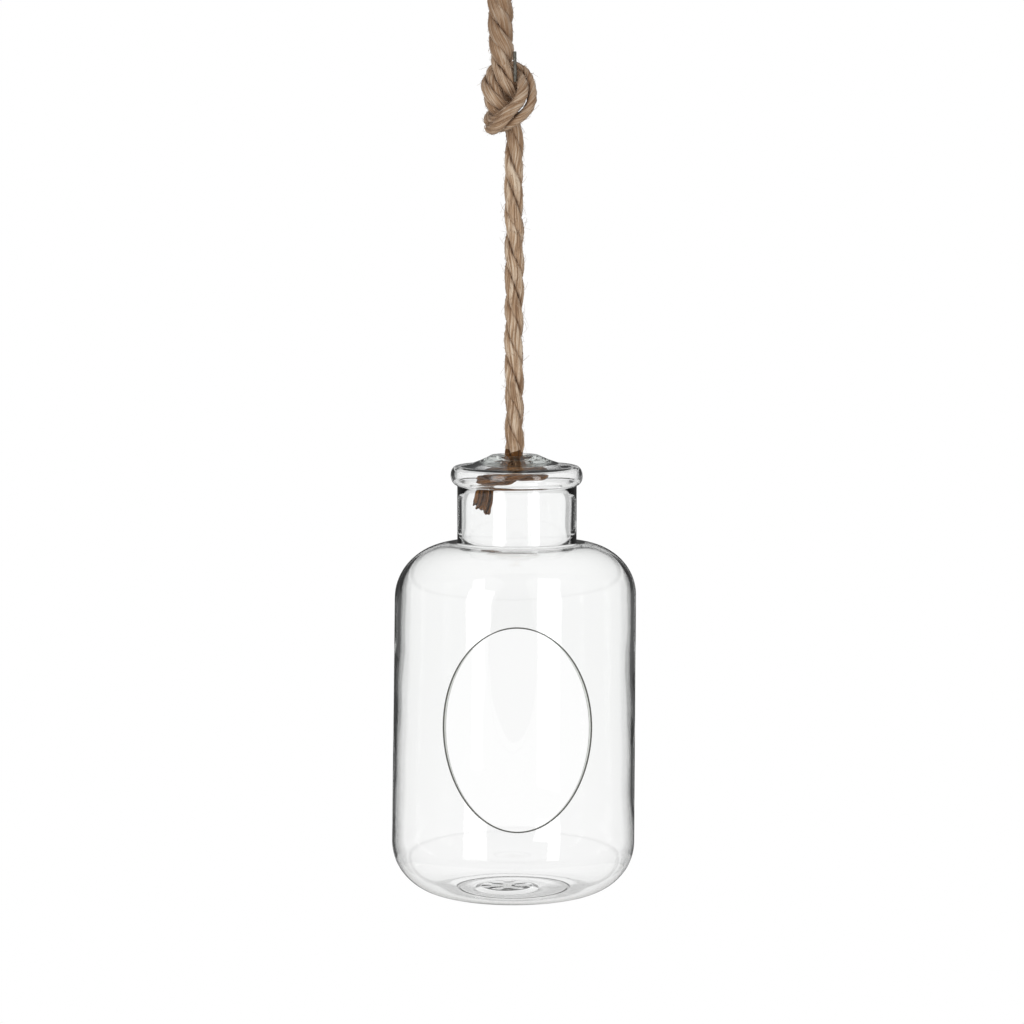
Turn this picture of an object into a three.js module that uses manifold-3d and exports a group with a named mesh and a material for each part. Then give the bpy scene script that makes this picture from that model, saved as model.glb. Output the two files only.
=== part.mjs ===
// Hanging bottle vase: a blown glass bottle with an oval window, carried by a knotted and spliced jute rope.
// Millimetres, +Z up. The origin is the inside top of the rope's eye, straight above the bottle's axis.
import * as THREE from "three";
import { mergeVertices } from "three/addons/utils/BufferGeometryUtils.js";
import Module from "manifold-3d";

const wasm = await Module();
wasm.setup();

// Fits shared by all pieces
const touchGap = 0.3; // between pieces that touch
const holeClearance = 1.0; // between the rope and the hole in the glass

// Glass bottle, from the top down
const landWidth = 6.4; // flat ring round the rope's hole
const domeRise = 6.0;
const domeWall = 7.3; // the closed top is thick, and flat inside
const ceilingRadius = 20; // of the flat underside that rests on the stopper knot
const rimWall = 1.8; // the dome's wall at the bead
const domeFlare = 11.5; // how far out of the land the dome turns flat
const beadHeight = 10.4;
const beadStandOut = 3.4;
const neckRadius = 32.1;
const neckLength = 31.2; // bead to shoulder
const neckWall = 2.6;
const neckFillet = 1.6;
const shoulderHeight = 28.8;
const bodyRadiusTop = 65.0;
const bodyRadiusBottom = 65.7; // the body widens a little towards its base
const bodyLength = 133.5; // the straight wall
const bodyWall = 2.8;
const bottomRise = 27.5;
const baseRadius = 36.7;
const baseWall = 2.8;
const pushUpRadius = 17.5;
const pushUpHeight = 1.5;
const pushUpFlat = 14; // how far out of the middle the push-up starts to fall

// Oval window in the front wall
const ovalWidth = 77.3;
const ovalHeight = 107.2;
const ovalBelowShoulder = 9.5;

// Rope, from the top down
const ropeDiameter = 10;
const knotRopeDiameter = 8.6; // pulled tight in the top knot
const eyeBend = 20; // radius of the eye's centreline at its top
const eyeLength = 78; // inside top of the eye to the splice's pivot
const spliceDiameter = 13.4;
const spliceLength = 34.6;
const spliceTaper = 14;
const runLength = 167; // top knot to the land of the bottle
const upperRunLength = 84; // top knot to the place where the rope's twist is taken up
const soakedLength = 2.4; // of the dark end above the land
const stopperRopeDiameter = 6;
const stopperPitch = 6.8; // unit of the stopper knot's route
const tailEndDiameter = 10;
const socketRim = 0.5; // share of a ball's radius at which the socket round it ends, above the pivot

// Tie wire
const wireDiameter = 1.8;
const wireLength = 16;
const wireSide = 1.7; // of the top knot's centre
const wireForward = 4.7;
const wireTop = 24.7; // above the top knot's centre

// Tessellation
const bottleSides = 48;
const ropeSides = 12;
const ballSides = 24;
const curvePoints = 4; // of a quarter curve; a half turn has four times as many
const knotSteps = 72;
const eyeSteps = 20; // of each leg
const tailSteps = 6;
const cutterReach = 12; // of a cutter past the wall that it cuts

// Overhand knot in units of the rope's diameter, from the upper rope to the lower: x right, y back, z up
const topKnotRoute = [
  [-0.53, 0.0, 2.3],
  [-0.52, -0.01, 1.75],
  [-0.36, -0.18, 1.15],
  [-0.16, -0.05, 0.55],
  [-0.05, 0.42, 0.05],
  [-0.26, 0.84, -0.36],
  [-0.72, 0.74, -0.76],
  [-0.98, 0.2, -1.18],
  [-0.92, -0.5, -1.42],
  [-0.49, -1.16, -1.24],
  [0.02, -1.34, -0.76],
  [0.42, -1.18, -0.3],
  [0.66, -0.78, 0.2],
  [0.74, -0.2, 0.7],
  [0.62, 0.42, 1.14],
  [0.25, 0.87, 1.45],
  [-0.28, 1.0, 1.6],
  [-0.82, 0.82, 1.44],
  [-1.12, 0.32, 0.98],
  [-1.06, -0.32, 0.26],
  [-0.74, -0.46, -0.34],
  [-0.14, -0.22, -0.9],
  [0.15, -0.01, -1.7],
  [0.15, 0.0, -2.3],
];

// Stopper knot in units of its pitch, from the hole in the dome to the tail: z 0 is the dome's underside
const stopperRoute = [
  [0.0, 0.0, 0.0],
  [-0.05, 0.0, -0.5],
  [-0.45, -0.3, -1.1],
  [-1.1, -0.72, -1.42],
  [-1.95, -0.62, -1.45],
  [-2.56, 0.1, -1.27],
  [-2.4, 1.0, -0.92],
  [-1.65, 1.42, -0.62],
  [-0.7, 1.42, -0.5],
  [0.5, 1.25, -0.5],
  [1.6, 0.95, -0.52],
  [2.2, 0.15, -0.56],
  [2.0, -0.65, -0.55],
  [1.2, -1.15, -0.5],
  [0.3, -1.3, -0.5],
  [-0.5, -1.35, -0.5],
  [-1.25, -1.0, -0.5],
  [-1.56, -0.18, -0.6],
  [-1.6, 0.36, -1.15],
  [-1.75, 0.62, -1.6],
];
// The tail goes on from the stopper knot's end
const tailRoute = [
  stopperRoute.at(-1),
  [-1.9, 0.84, -2.0],
  [-2.25, 0.9, -2.45],
  [-2.55, 0.75, -2.95],
  [-2.75, 0.6, -3.42],
];

// Sizes that follow from the ones above
const ropeRadius = ropeDiameter / 2;
const spliceRadius = spliceDiameter / 2;
const holeRadius = ropeRadius + holeClearance;
const landRadius = holeRadius + landWidth;
const boreRadius = neckRadius - neckWall;
const [knotTop, knotBottom] = [topKnotRoute.at(0), topKnotRoute.at(-1)];

// Heights down the rope
const splicePivotZ = -eyeLength;
const spliceEndZ = splicePivotZ - spliceLength;
const knotCentreZ = spliceEndZ - touchGap - knotTop[2] * ropeDiameter;
const knotEndZ = knotCentreZ + knotBottom[2] * ropeDiameter;
const knotCentreX = -knotBottom[0] * ropeDiameter;
const upperRopeX = knotCentreX + knotTop[0] * ropeDiameter;
const runPivotZ = knotEndZ - socketRim * ropeRadius;
const twistZ = knotEndZ - upperRunLength;

// Heights down the bottle
const landZ = knotEndZ - runLength;
const beadTopZ = landZ - domeRise;
const beadBottomZ = beadTopZ - beadHeight;
const shoulderTopZ = beadBottomZ - neckLength;
const shoulderEndZ = shoulderTopZ - shoulderHeight;
const bodyEndZ = shoulderEndZ - bodyLength;
const baseZ = bodyEndZ - bottomRise;
const domeUnderZ = landZ - domeWall;

// A closed geometry as a solid, with the faces that collapsed on an axis dropped.
function solidOf(geometry) {
  const bare = geometry.clone();
  bare.deleteAttribute("normal");
  bare.deleteAttribute("uv");
  const merged = mergeVertices(bare, 1e-4);
  const corners = merged.index.array;
  const kept = [];
  for (let i = 0; i < corners.length; i += 3) {
    const [a, b, c] = [corners[i], corners[i + 1], corners[i + 2]];
    if (a !== b && b !== c && a !== c) kept.push(a, b, c);
  }
  const mesh = new wasm.Mesh({
    numProp: 3,
    vertProperties: merged.attributes.position.array,
    triVerts: new Uint32Array(kept),
  });
  return new wasm.Manifold(mesh);
}

// A solid as a named mesh.
function meshOf(name, solid, material) {
  const { vertProperties, triVerts } = solid.getMesh();
  const geometry = new THREE.BufferGeometry();
  geometry.setAttribute("position", new THREE.BufferAttribute(vertProperties, 3));
  geometry.setIndex(new THREE.BufferAttribute(triVerts, 1));
  geometry.computeVertexNormals();
  const mesh = new THREE.Mesh(geometry, material);
  mesh.name = name;
  return mesh;
}

// A profile of (radius, height) turned round the Z axis, listed from its lower end up the outside.
function turned(profile, sides) {
  return solidOf(new THREE.LatheGeometry(profile, sides).rotateX(Math.PI / 2));
}

// A round rope along a line of points, tapering from one radius to another.
function ropeAlong(points, startRadius, endRadius, steps) {
  const curve = new THREE.CatmullRomCurve3(points, false, "catmullrom", 0.5);
  const section = new THREE.Shape();
  section.absarc(0, 0, startRadius, 0, 2 * Math.PI);
  const geometry = new THREE.ExtrudeGeometry(section, {
    steps,
    extrudePath: curve,
    curveSegments: ropeSides / 2,
    bevelEnabled: false,
  });
  if (endRadius !== startRadius) {
    taperAlong(geometry, curve.getSpacedPoints(steps), endRadius / startRadius);
  }
  return solidOf(geometry);
}

// Widens an extruded rope from ring to ring, by a share that grows to endShare at its last ring.
function taperAlong(geometry, rings, endShare) {
  const position = geometry.getAttribute("position");
  const corner = new THREE.Vector3();
  for (let i = 0; i < position.count; i++) {
    corner.fromBufferAttribute(position, i);
    const distances = rings.map((centre) => centre.distanceTo(corner));
    const ring = distances.indexOf(Math.min(...distances));
    const share = 1 + ((endShare - 1) * ring) / (rings.length - 1);
    corner.sub(rings[ring]).multiplyScalar(share).add(rings[ring]);
    position.setXYZ(i, corner.x, corner.y, corner.z);
  }
}

// Least gap that a rope along a line of points keeps to its own other turns.
function gapToItself(points, diameter) {
  const line = new THREE.CatmullRomCurve3(points, false, "catmullrom", 0.5);
  const count = Math.round(line.getLength());
  const places = line.getSpacedPoints(count);
  const alongTheBend = 2 * diameter;
  let least = Infinity;
  for (let i = 0; i < count; i++) {
    for (let j = i + alongTheBend; j <= count; j++) {
      least = Math.min(least, places[i].distanceTo(places[Math.floor(j)]));
    }
  }
  return least - diameter;
}

// A route in its own units as points, from a centre.
function routePoints(route, unit, centre) {
  return route.map(([x, y, z]) => new THREE.Vector3(x, y, z).multiplyScalar(unit).add(centre));
}

// A ball, or the hollow that a ball turns in when its radius includes the gap.
function ball(radius, centre) {
  const geometry = new THREE.SphereGeometry(radius, ballSides, ballSides / 2).rotateX(Math.PI / 2);
  return solidOf(geometry.translate(centre.x, centre.y, centre.z));
}

// A quarter ellipse from the start to the end of a path, round a centre level with one of them.
function quarterTurn(path, centreX, centreY, acrossRadius, upRadius, startAngle, endAngle) {
  path.absellipse(centreX, centreY, acrossRadius, upRadius, startAngle, endAngle, startAngle > endAngle);
}

// Outside of the bottle from the base's middle up to the hole, and inside from the hole down to the floor.
function bottleProfile() {
  const right = 0;
  const up = Math.PI / 2;
  const down = -Math.PI / 2;
  const path = new THREE.Path();

  // Base with its push-up, rounded bottom, wall and shoulder
  path.moveTo(0, baseZ + pushUpHeight);
  path.quadraticCurveTo(pushUpFlat, baseZ + pushUpHeight, pushUpRadius, baseZ);
  path.lineTo(baseRadius, baseZ);
  quarterTurn(path, baseRadius, bodyEndZ, bodyRadiusBottom - baseRadius, bottomRise, down, right);
  path.lineTo(bodyRadiusTop, shoulderEndZ);
  const shoulderStart = neckRadius + neckFillet;
  quarterTurn(path, shoulderStart, shoulderEndZ, bodyRadiusTop - shoulderStart, shoulderHeight, right, up);

  // Neck, bead and dome
  path.quadraticCurveTo(neckRadius, shoulderTopZ, neckRadius, shoulderTopZ + neckFillet);
  path.lineTo(neckRadius, beadBottomZ);
  const beadMiddleZ = (beadTopZ + beadBottomZ) / 2;
  path.absellipse(neckRadius, beadMiddleZ, beadStandOut, beadHeight / 2, down, up, false);
  path.quadraticCurveTo(landRadius + domeFlare, beadTopZ, landRadius, landZ);
  path.lineTo(holeRadius, landZ);

  // Underside of the dome and hollow of the bead
  path.lineTo(holeRadius, domeUnderZ);
  path.lineTo(ceilingRadius, domeUnderZ);
  const beadHollowZ = beadTopZ - rimWall;
  path.lineTo(boreRadius, beadHollowZ);
  path.quadraticCurveTo(boreRadius + beadStandOut, (beadHollowZ + beadBottomZ) / 2, boreRadius, beadBottomZ);

  // Bore of the neck, inside of the shoulder, wall and floor
  const shoulderUnderZ = shoulderTopZ - bodyWall;
  const innerStart = boreRadius + neckFillet;
  path.lineTo(boreRadius, shoulderUnderZ + neckFillet);
  path.quadraticCurveTo(boreRadius, shoulderUnderZ, innerStart, shoulderUnderZ);
  const innerTop = bodyRadiusTop - bodyWall;
  quarterTurn(path, innerStart, shoulderEndZ, innerTop - innerStart, shoulderHeight - bodyWall, up, right);
  const innerBottom = bodyRadiusBottom - bodyWall;
  path.lineTo(innerBottom, bodyEndZ);
  quarterTurn(path, baseRadius, bodyEndZ, innerBottom - baseRadius, bottomRise - baseWall, right, down);
  const floorZ = baseZ + baseWall;
  path.lineTo(pushUpRadius, floorZ);
  path.quadraticCurveTo(pushUpFlat, floorZ + pushUpHeight, 0, floorZ + pushUpHeight);
  return path.getPoints(curvePoints);
}

// The oval's cutter: an ellipse as seen from the front, with sides square to the round wall.
function ovalCutter() {
  const nearest = Math.sqrt(bodyRadiusTop ** 2 - (ovalWidth / 2) ** 2) - bodyWall - cutterReach;
  const farthest = bodyRadiusBottom + cutterReach;
  const middleZ = shoulderEndZ - ovalBelowShoulder - ovalHeight / 2;
  const outline = new THREE.Shape();
  outline.absellipse(0, middleZ, ovalWidth / 2, ovalHeight / 2, 0, 2 * Math.PI);
  const geometry = new THREE.ExtrudeGeometry(outline, {
    depth: farthest - nearest,
    curveSegments: bottleSides / 2,
    bevelEnabled: false,
  });
  geometry.rotateX(Math.PI / 2).translate(0, -nearest, 0);
  const position = geometry.getAttribute("position");
  for (let i = 0; i < position.count; i++) {
    const angle = Math.asin(position.getX(i) / bodyRadiusTop);
    position.setX(i, Math.abs(position.getY(i)) * Math.tan(angle));
  }
  return solidOf(geometry);
}

function glassBottle() {
  return turned(bottleProfile(), bottleSides).subtract(ovalCutter());
}

// One leg of the eye, from the splice up a straight line and round the bend to its top.
function eyeLeg(side, throatZ) {
  const legSpread = spliceRadius - ropeRadius;
  const bendCentreZ = ropeRadius - eyeBend;
  const fall = bendCentreZ - throatZ;
  const toThroat = Math.atan2(-fall, legSpread);
  const bendStart = toThroat + Math.acos(eyeBend / Math.hypot(fall, legSpread));
  const bendEnd = Math.PI / 2 + 0.1; // a little past the top, into the other leg
  const points = [];
  const legParts = 3;
  const bendParts = 8;
  const bendPoint = (angle) =>
    new THREE.Vector3(side * eyeBend * Math.cos(angle), 0, bendCentreZ + eyeBend * Math.sin(angle));
  const throat = new THREE.Vector3(side * legSpread, 0, throatZ);
  for (let i = 0; i < legParts; i++) {
    points.push(throat.clone().lerp(bendPoint(bendStart), i / legParts));
  }
  for (let i = 0; i <= bendParts; i++) {
    points.push(bendPoint(bendStart + ((bendEnd - bendStart) * i) / bendParts));
  }
  return ropeAlong(points, ropeRadius, ropeRadius, eyeSteps);
}

// The eye hangs straight down here and is leaned afterwards: its lower end holds the ball of the splice.
function ropeEye() {
  const pivotZ = -Math.hypot(eyeLength, upperRopeX);
  const lowerEdgeZ = pivotZ + socketRim * spliceRadius;
  const throatZ = lowerEdgeZ + spliceRadius;
  const collarTopZ = throatZ + spliceRadius;
  const collar = [
    new THREE.Vector2(0, lowerEdgeZ),
    new THREE.Vector2(spliceRadius, lowerEdgeZ),
    new THREE.Vector2(spliceRadius, throatZ),
    new THREE.Vector2(ropeRadius, collarTopZ),
    new THREE.Vector2(0, collarTopZ),
  ];
  return turned(collar, ropeSides)
    .add(eyeLeg(1, throatZ))
    .add(eyeLeg(-1, throatZ))
    .subtract(ball(spliceRadius + touchGap, new THREE.Vector3(0, 0, pivotZ)));
}

// A straight stretch of rope with a round upper end, centred on the pivot that it swings about.
function hangingStretch(x, pivotZ, lowerZ, topRadius, lowerRadius, taper) {
  const profile = new THREE.Path();
  profile.moveTo(0, lowerZ);
  profile.lineTo(lowerRadius, lowerZ);
  profile.lineTo(topRadius, lowerZ + taper);
  profile.lineTo(topRadius, pivotZ);
  profile.absarc(0, pivotZ, topRadius, 0, Math.PI / 2, false);
  return turned(profile.getPoints(curvePoints), ropeSides).translate(x, 0, 0);
}

function plainStretch(upperZ, lowerZ) {
  const profile = [
    new THREE.Vector2(0, lowerZ),
    new THREE.Vector2(ropeRadius, lowerZ),
    new THREE.Vector2(ropeRadius, upperZ),
    new THREE.Vector2(0, upperZ),
  ];
  return turned(profile, ropeSides);
}

function topKnot() {
  const centre = new THREE.Vector3(knotCentreX, 0, knotCentreZ);
  const points = routePoints(topKnotRoute, ropeDiameter, centre);
  console.log("top knot's least gap to itself, mm:", gapToItself(points, knotRopeDiameter).toFixed(2));
  const socket = ball(ropeRadius + touchGap, new THREE.Vector3(0, 0, runPivotZ));
  return ropeAlong(points, knotRopeDiameter / 2, knotRopeDiameter / 2, knotSteps).subtract(socket);
}

function tieWire() {
  const top = new THREE.Vector3(knotCentreX + wireSide, -wireForward, knotCentreZ + wireTop);
  const bottom = top.clone().setZ(top.z - wireLength);
  return ropeAlong([top, bottom], wireDiameter / 2, wireDiameter / 2, 1);
}

// The dark end in the hole, with the knot that carries the dome.
function stopperKnot() {
  const centre = new THREE.Vector3(0, 0, domeUnderZ);
  const points = routePoints(stopperRoute, stopperPitch, centre);
  console.log("stopper knot's least gap to itself, mm:", gapToItself(points, stopperRopeDiameter).toFixed(2));
  const stopperRadius = stopperRopeDiameter / 2;
  const knot = ropeAlong(points, stopperRadius, stopperRadius, knotSteps);
  return knot.add(plainStretch(landZ + soakedLength, domeUnderZ - touchGap));
}

function frayedTail() {
  const centre = new THREE.Vector3(0, 0, domeUnderZ - touchGap);
  const points = routePoints(tailRoute, stopperPitch, centre);
  return ropeAlong(points, stopperRopeDiameter / 2, tailEndDiameter / 2, tailSteps);
}

const glass = new THREE.MeshStandardMaterial({ color: 0xeef4f2, roughness: 0.03, metalness: 0 });
glass.transparent = true;
glass.opacity = 0.35;
const jute = new THREE.MeshStandardMaterial({ color: 0xa08264, roughness: 0.9, metalness: 0 });
const soakedJute = new THREE.MeshStandardMaterial({ color: 0x5a3c1e, roughness: 0.7, metalness: 0 });
const wire = new THREE.MeshStandardMaterial({ color: 0x4a4a4c, roughness: 0.5, metalness: 0.9 });

const vase = new THREE.Group();
vase.name = "hanging_bottle_vase";
const eye = meshOf("rope_eye", ropeEye(), jute.clone());
eye.rotation.y = Math.atan2(-upperRopeX, eyeLength);
vase.add(
  eye,
  meshOf(
    "rope_splice",
    hangingStretch(upperRopeX, splicePivotZ, spliceEndZ, spliceRadius, ropeRadius, spliceTaper),
    jute.clone(),
  ),
  meshOf("rope_top_knot", topKnot(), jute.clone()),
  meshOf("tie_wire", tieWire(), wire),
  meshOf(
    "rope_upper_run",
    hangingStretch(0, runPivotZ, twistZ + touchGap, ropeRadius, ropeRadius, 0),
    jute.clone(),
  ),
  meshOf("rope_lower_run", plainStretch(twistZ, landZ + soakedLength + touchGap), jute.clone()),
  meshOf("rope_stopper_knot", stopperKnot(), soakedJute.clone()),
  meshOf("rope_tail", frayedTail(), soakedJute.clone()),
  meshOf("glass_bottle", glassBottle(), glass),
);

export default vase;
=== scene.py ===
"""Dresses the hanging bottle vase: a blown glass bottle with an oval window, on a laid jute rope."""

import logging
import math
from collections.abc import Sequence
from dataclasses import dataclass, field
from enum import Enum

import bpy
import numpy as np
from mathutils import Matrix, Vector


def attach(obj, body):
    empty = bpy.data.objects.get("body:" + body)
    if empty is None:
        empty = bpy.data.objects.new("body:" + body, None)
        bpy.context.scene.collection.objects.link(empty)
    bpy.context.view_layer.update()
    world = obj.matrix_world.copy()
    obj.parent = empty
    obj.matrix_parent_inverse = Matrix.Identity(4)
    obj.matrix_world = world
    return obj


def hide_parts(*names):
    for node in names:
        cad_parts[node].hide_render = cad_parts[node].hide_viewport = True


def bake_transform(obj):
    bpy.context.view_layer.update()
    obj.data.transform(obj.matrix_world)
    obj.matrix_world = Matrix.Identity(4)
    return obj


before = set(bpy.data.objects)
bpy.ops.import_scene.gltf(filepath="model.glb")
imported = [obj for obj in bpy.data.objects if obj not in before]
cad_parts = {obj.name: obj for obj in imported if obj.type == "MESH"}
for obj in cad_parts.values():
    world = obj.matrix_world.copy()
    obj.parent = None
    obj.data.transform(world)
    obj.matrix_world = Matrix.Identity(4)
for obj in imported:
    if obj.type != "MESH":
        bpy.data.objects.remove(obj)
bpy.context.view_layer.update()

log = logging.getLogger("bottle_vase")

MM = 0.001
FULL_TURN = 2 * math.pi


class Body(Enum):
    """The moving bodies of the frame that the pieces ride on."""

    EYE = "hanging_eye"
    UPPER = "upper_rope"
    MIDDLE = "middle_rope"
    LOWER = "lower_rope"
    BOTTLE = "bottle"


class Slot(Enum):
    """The record's material slots."""

    GLASS = "clear_glass"
    JUTE = "jute"
    SOAKED = "soaked_jute"
    WIRE = "wire"


class GlassFace(Enum):
    """The order of the finishes on the bottle's mesh."""

    BLOWN = 0
    ARRIS = 1
    CUT = 2
    WETTED = 3


def linear(colour: str) -> tuple[float, float, float, float]:
    """Turns an sRGB hex colour to linear light.

    Args:
        colour: six hex digits with a leading #.

    Returns:
        Red, green, blue and an alpha of one.
    """
    parts = [int(colour[i : i + 2], 16) / 255 for i in (1, 3, 5)]
    light = [c / 12.92 if c <= 0.04045 else ((c + 0.055) / 1.055) ** 2.4 for c in parts]
    return (*light, 1.0)


def add_node(
    tree: bpy.types.NodeTree,
    kind: str,
    inputs: dict | None = None,
    stops: Sequence[tuple[float, str]] = (),
    **settings: object,
) -> bpy.types.Node:
    """Adds a node with its settings and links.

    Args:
        tree: the node tree that takes the node.
        kind: Blender's type name of the node.
        inputs: socket name or number to a value, or to the output socket that feeds it.
        stops: a colour ramp's places and hex colours.
        settings: the node's own properties.

    Returns:
        The new node.
    """
    made = tree.nodes.new(kind)
    for name, value in settings.items():
        setattr(made, name, value)
    for socket, value in (inputs or {}).items():
        if isinstance(value, bpy.types.NodeSocket):
            tree.links.new(value, made.inputs[socket])
        else:
            made.inputs[socket].default_value = value
    for number, (place, colour) in enumerate(stops):
        ramp = made.color_ramp.elements
        stop = ramp[number] if number < 2 else ramp.new(place)
        stop.position = place
        stop.color = linear(colour)
    return made


def empty_material(name: str) -> tuple[bpy.types.Material, bpy.types.NodeTree, bpy.types.Node]:
    """Makes a material whose tree holds only its output.

    Args:
        name: the material's name.

    Returns:
        The material, its node tree and its output node.
    """
    made = bpy.data.materials.new(name)
    made.use_nodes = True
    made.node_tree.nodes.clear()
    return made, made.node_tree, add_node(made.node_tree, "ShaderNodeOutputMaterial")


def through_points(points: Sequence[Sequence[float]], per_span: int = 24) -> np.ndarray:
    """Draws a smooth curve through given points.

    Args:
        points: the route's points, in order.
        per_span: how many steps each span between two points gets.

    Returns:
        The curve's points, with a mirrored point beyond each end.
    """
    p = np.asarray(points, float)
    p = np.vstack([2 * p[0] - p[1], p, 2 * p[-1] - p[-2]])
    t = np.linspace(0, 1, per_span, endpoint=False)[:, None]
    spans = []
    for a, b, c, d in zip(p[:-3], p[1:-2], p[2:-1], p[3:]):
        rise = 2 * a - 5 * b + 4 * c - d
        sway = 3 * b - a - 3 * c + d
        spans.append(b + 0.5 * ((c - a) * t + rise * t**2 + sway * t**3))
    return np.vstack([*spans, p[-2:-1]])


def lengths_along(points: np.ndarray) -> np.ndarray:
    """Gives the length walked along a curve at each of its points."""
    return np.concatenate([[0], np.cumsum(np.linalg.norm(np.diff(points, axis=0), axis=1))])


def summed_along(rate: np.ndarray, along: np.ndarray) -> np.ndarray:
    """Adds up a rate along a curve, from its start to each of its points."""
    return np.concatenate([[0], np.cumsum(0.5 * (rate[1:] + rate[:-1]) * np.diff(along))])


def even_steps(points: np.ndarray, step: float) -> np.ndarray:
    """Spaces a curve's points evenly along it.

    Args:
        points: the curve.
        step: the wanted distance between two points.

    Returns:
        The same curve with even steps.
    """
    lengths = lengths_along(points)
    count = max(2, round(lengths[-1] / step) + 1)
    places = np.linspace(0, lengths[-1], count)
    return np.column_stack([np.interp(places, lengths, points[:, i]) for i in range(3)])


def unit(vectors: np.ndarray) -> np.ndarray:
    """Scales each row to a length of one."""
    return vectors / np.maximum(np.linalg.norm(vectors, axis=-1, keepdims=True), 1e-12)


def smooth_step(low: float, high: float, value: np.ndarray) -> np.ndarray:
    """Rises smoothly from 0 at low to 1 at high."""
    t = np.clip((value - low) / (high - low), 0, 1)
    return t * t * (3 - 2 * t)


def grid_faces(rows: int, sides: int, first: int) -> list[tuple[int, ...]]:
    """Lists the faces of a closed tube, with a flat cap at each end.

    Args:
        rows: how many rings of points the tube has.
        sides: how many points each ring has.
        first: the number of the tube's first point.

    Returns:
        The faces, facing out for rings that turn with the thumb along the tube.
    """
    faces = []
    for i in range(rows - 1):
        for j in range(sides):
            a, b = first + i * sides + j, first + i * sides + (j + 1) % sides
            faces.append((a, b, b + sides, a + sides))
    faces.append(tuple(first + j for j in reversed(range(sides))))
    faces.append(tuple(first + (rows - 1) * sides + j for j in range(sides)))
    return faces


def new_piece(name: str, vertices: np.ndarray, faces: Sequence[Sequence[int]]) -> bpy.types.Object:
    """Makes a mesh object, smooth-shaded apart from its flat caps.

    Args:
        name: the piece's name.
        vertices: its points, in metres.
        faces: its faces as rows of point numbers.

    Returns:
        The new object, linked to the scene.
    """
    mesh = bpy.data.meshes.new(name)
    mesh.from_pydata(np.asarray(vertices, float).tolist(), [], list(faces))
    mesh.shade_smooth()
    for face in mesh.polygons:
        if len(face.vertices) > 4:
            face.use_smooth = False
    mesh.update()
    made = bpy.data.objects.new(name, mesh)
    bpy.context.collection.objects.link(made)
    return made


def keep_on_points(piece: bpy.types.Object, name: str, values: np.ndarray) -> None:
    """Stores a number or a vector on each point, for the material to read.

    Args:
        piece: the mesh object.
        name: the attribute's name.
        values: one number or one row of three per point.
    """
    kind, key = ("FLOAT", "value") if values.ndim == 1 else ("FLOAT_VECTOR", "vector")
    made = piece.data.attributes.new(name, kind, "POINT")
    made.data.foreach_set(key, values.astype(np.float32).ravel())


@dataclass(frozen=True)
class BlownGlass:
    """Soda-lime glass, blown and fire polished: clear, mirror smooth, faintly green-grey in depth."""

    name: str = "blown_soda_lime_glass"
    ior: float = 1.5
    tint: str = "#d9e3dc"
    density_per_metre: float = 16.0
    shadow: str = "#f4f6f4"

    def material(self) -> bpy.types.Material:
        """Builds the glass, which lets lamps shine through onto the rope inside it.

        Returns:
            The material.
        """
        made, tree, output = empty_material(self.name)
        # A clear body shows by its bent light alone; thick walls and edges take on a grey-green cast.
        glass = add_node(
            tree,
            "ShaderNodeBsdfGlass",
            {"Color": (1, 1, 1, 1), "Roughness": 0.0, "IOR": self.ior},
        )
        clear = add_node(tree, "ShaderNodeBsdfTransparent", {"Color": linear(self.shadow)})
        light = add_node(tree, "ShaderNodeLightPath")
        shader = add_node(
            tree,
            "ShaderNodeMixShader",
            {0: light.outputs["Is Shadow Ray"], 1: glass.outputs[0], 2: clear.outputs[0]},
        )
        depth = add_node(
            tree,
            "ShaderNodeVolumeAbsorption",
            {"Color": linear(self.tint), "Density": self.density_per_metre},
        )
        tree.links.new(shader.outputs[0], output.inputs["Surface"])
        tree.links.new(depth.outputs[0], output.inputs["Volume"])
        return made


@dataclass(frozen=True)
class GroundGlass:
    """Cold-cut glass, ground with fine grit: matt, so that it scatters light instead of bending it."""

    name: str
    colour: str
    roughness: float
    grain: float = 0.3
    scratch_depth: float = 0.05

    def material(self) -> bpy.types.Material:
        """Builds the ground surface from the grit's fine scratches.

        Returns:
            The material.
        """
        made, tree, output = empty_material(self.name)
        place = add_node(tree, "ShaderNodeTexCoord")
        scratches = add_node(
            tree,
            "ShaderNodeTexNoise",
            {"Vector": place.outputs["Object"], "Scale": 1 / (self.grain * MM), "Detail": 2.0},
        )
        bump = add_node(
            tree,
            "ShaderNodeBump",
            {"Strength": 0.3, "Distance": self.scratch_depth * MM, "Height": scratches.outputs["Fac"]},
        )
        shader = add_node(
            tree,
            "ShaderNodeBsdfPrincipled",
            {"Base Color": linear(self.colour), "Roughness": self.roughness, "Normal": bump.outputs[0]},
        )
        tree.links.new(shader.outputs[0], output.inputs["Surface"])
        return made


@dataclass(frozen=True)
class WettedGlass:
    """The hole's wall, wetted by the resin that soaks the rope's end: it no longer bends light."""

    name: str = "resin_wetted_glass"
    tint: str = "#f4f0ea"

    def material(self) -> bpy.types.Material:
        """Builds the wetted wall, through which the rope shows unbroken.

        Returns:
            The material.
        """
        made, tree, output = empty_material(self.name)
        clear = add_node(tree, "ShaderNodeBsdfTransparent", {"Color": linear(self.tint)})
        tree.links.new(clear.outputs[0], output.inputs["Surface"])
        return made


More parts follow.
